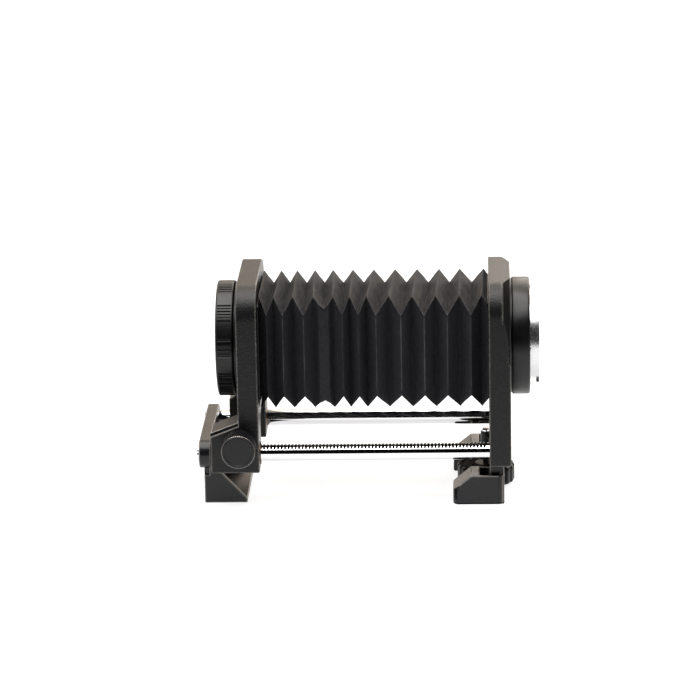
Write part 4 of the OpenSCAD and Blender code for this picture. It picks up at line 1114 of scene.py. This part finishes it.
class BELLOWS_OT_stage(bpy.types.Operator):
    """Sets the floor, the lights, the surroundings and the camera"""
    bl_idname = "bellows.stage"
    bl_label = "Stage"

    def execute(self, context):
        self.floor()
        self.lights()
        self.surroundings(context.scene)
        self.camera(context.scene)
        return {"FINISHED"}

    def floor(self):
        mesh = bpy.data.meshes.new("floor")
        size = 9.0
        mesh.from_pydata([(-size, -size, 0), (size, -size, 0), (size, size, 0), (-size, size, 0)],
                         [], [(0, 1, 2, 3)])
        board = link("floor", mesh)
        mesh.materials.append(finish("floor"))

    def lights(self):
        # name, place, size, power: a broad softbox above, one in front and one behind
        rows = (("softbox_above", (-0.2, -0.2, 1.5), 1.4, 28),
                ("softbox_front", (-1.2, -1.5, 0.9), 0.7, 3),
                ("softbox_behind", (0.5, 1.5, 1.0), 1.2, 8))
        for name, place, size, power in rows:
            lamp = bpy.data.lights.new(name, "AREA")
            lamp.size = size
            lamp.energy = power
            lamp.color = (1.0, 0.985, 0.965)
            holder = bpy.data.objects.new(name, lamp)
            bpy.context.scene.collection.objects.link(holder)
            holder.location = place
            aim = Vector((-0.06, 0, 0.06)) - Vector(place)
            holder.rotation_euler = aim.to_track_quat("-Z", "Y").to_euler()

    def surroundings(self, scene):
        # A studio by the angle about the rails, 0 ahead of the unit and 90 overhead: dark behind
        # the camera, white above, warm behind the unit and dim at the far edge of the board
        world = bpy.data.worlds.new("Studio")
        world.use_nodes = True
        tree = world.node_tree
        tree.nodes.clear()
        way = put(tree, "ShaderNodeTexCoord").outputs["Generated"]
        parts = put(tree, "ShaderNodeSeparateXYZ", {0: way}).outputs
        angle = maths(tree, "ARCTAN2", parts[2], maths(tree, "MULTIPLY", parts[1], -1.0))
        share = ramp(tree, angle, -math.pi, math.pi)
        sky = put(tree, "ShaderNodeValToRGB", {0: share})
        marks = ((-180, "#8c867f"), (-20, "#8c867f"), (-6, "#040405"), (58, "#040405"),
                 (66, "#ffffff"), (110, "#fff8ee"), (140, "#ffedda"), (180, "#ffedda"))
        stops = sky.color_ramp.elements
        for i, (degrees, code) in enumerate(marks):
            place = (degrees + 180) / 360
            stop = stops[i] if i < 2 else stops.new(place)
            stop.position = place
            stop.color = tone(code)
        # Both sides are dim, and so is a strip low behind the unit and a flag at its lens end
        away = maths(tree, "ABSOLUTE", parts[0])
        sides = ramp(tree, away, 0.5, 0.75, 1.0, 0.12)
        low_down = maths(tree, "MAXIMUM", maths(tree, "MULTIPLY", parts[2], 1.2), away)
        strip = ramp(tree, low_down, 0.12, 0.2, 0.12, 1.0)
        towards = vector_maths(tree, "DOT_PRODUCT", {0: way, 1: (-0.206, 0.963, 0.173)}, 1)
        flag = ramp(tree, towards, 0.985, 0.9935, 1.0, 0.08)
        strength = maths(tree, "MULTIPLY", maths(tree, "MULTIPLY", sides, flag),
                         maths(tree, "MULTIPLY", strip, 1.65))
        ground = put(tree, "ShaderNodeBackground", {"Color": sky.outputs[0],
                                                    "Strength": strength})
        put(tree, "ShaderNodeOutputWorld", {0: ground.outputs[0]})
        scene.world = world

    def camera(self, scene):
        # Long lens, a little above the unit and almost square to the rails
        azimuth, elevation, roll = (math.radians(v) for v in (2.114, 15.534, -1.074))
        distance = 1.82648
        target = Vector((-0.06825, 0, 0.07076))
        back = Vector((math.sin(azimuth) * math.cos(elevation),
                       -math.cos(azimuth) * math.cos(elevation), math.sin(elevation)))
        level = Vector((math.cos(azimuth), math.sin(azimuth), 0))
        rise = back.cross(level)
        right = level * math.cos(roll) + rise * math.sin(roll)
        up = rise * math.cos(roll) - level * math.sin(roll)
        lens = bpy.data.cameras.new("camera")
        lens.sensor_width = 36
        lens.lens = 185.6
        lens.clip_start = 0.05
        lens.clip_end = 40
        holder = bpy.data.objects.new("camera", lens)
        scene.collection.objects.link(holder)
        turn = Matrix((right, up, back)).transposed().to_4x4()
        holder.matrix_world = Matrix.Translation(target + back * distance) @ turn
        scene.camera = holder
        scene.view_settings.view_transform = "Standard"


class BELLOWS_PT_sidebar(bpy.types.Panel):
    """Lists the settings and the steps that build the unit"""
    bl_idname = "BELLOWS_PT_sidebar"
    bl_label = "Macro bellows unit"
    bl_space_type = "VIEW_3D"
    bl_region_type = "UI"
    bl_category = "Bellows"

    def draw(self, context):
        layout = self.layout
        for group in (context.scene.bellows_sizes, context.scene.bellows_colours):
            box = layout.box()
            for name in type(group).__annotations__:
                box.prop(group, name)
        for step in STEPS:
            layout.operator(step.bl_idname)


STEPS = (BELLOWS_OT_metalwork, BELLOWS_OT_castings, BELLOWS_OT_cloth, BELLOWS_OT_lens_ring,
         BELLOWS_OT_turned_rings, BELLOWS_OT_rack_rail, BELLOWS_OT_focus_knob,
         BELLOWS_OT_lock_knob, BELLOWS_OT_clamp_wheel, BELLOWS_OT_screws, BELLOWS_OT_stage)
CLASSES = (BellowsSizes, BellowsColours, *STEPS, BELLOWS_PT_sidebar)


def register():
    for kind in CLASSES:
        bpy.utils.register_class(kind)
    bpy.types.Scene.bellows_sizes = bpy.props.PointerProperty(type=BellowsSizes)
    bpy.types.Scene.bellows_colours = bpy.props.PointerProperty(type=BellowsColours)


def unregister():
    del bpy.types.Scene.bellows_sizes
    del bpy.types.Scene.bellows_colours
    for kind in reversed(CLASSES):
        bpy.utils.unregister_class(kind)


def main():
    register()
    for step in STEPS:
        group, name = step.bl_idname.split(".")
        getattr(getattr(bpy.ops, group), name)()


if __name__ == "__main__":
    main()
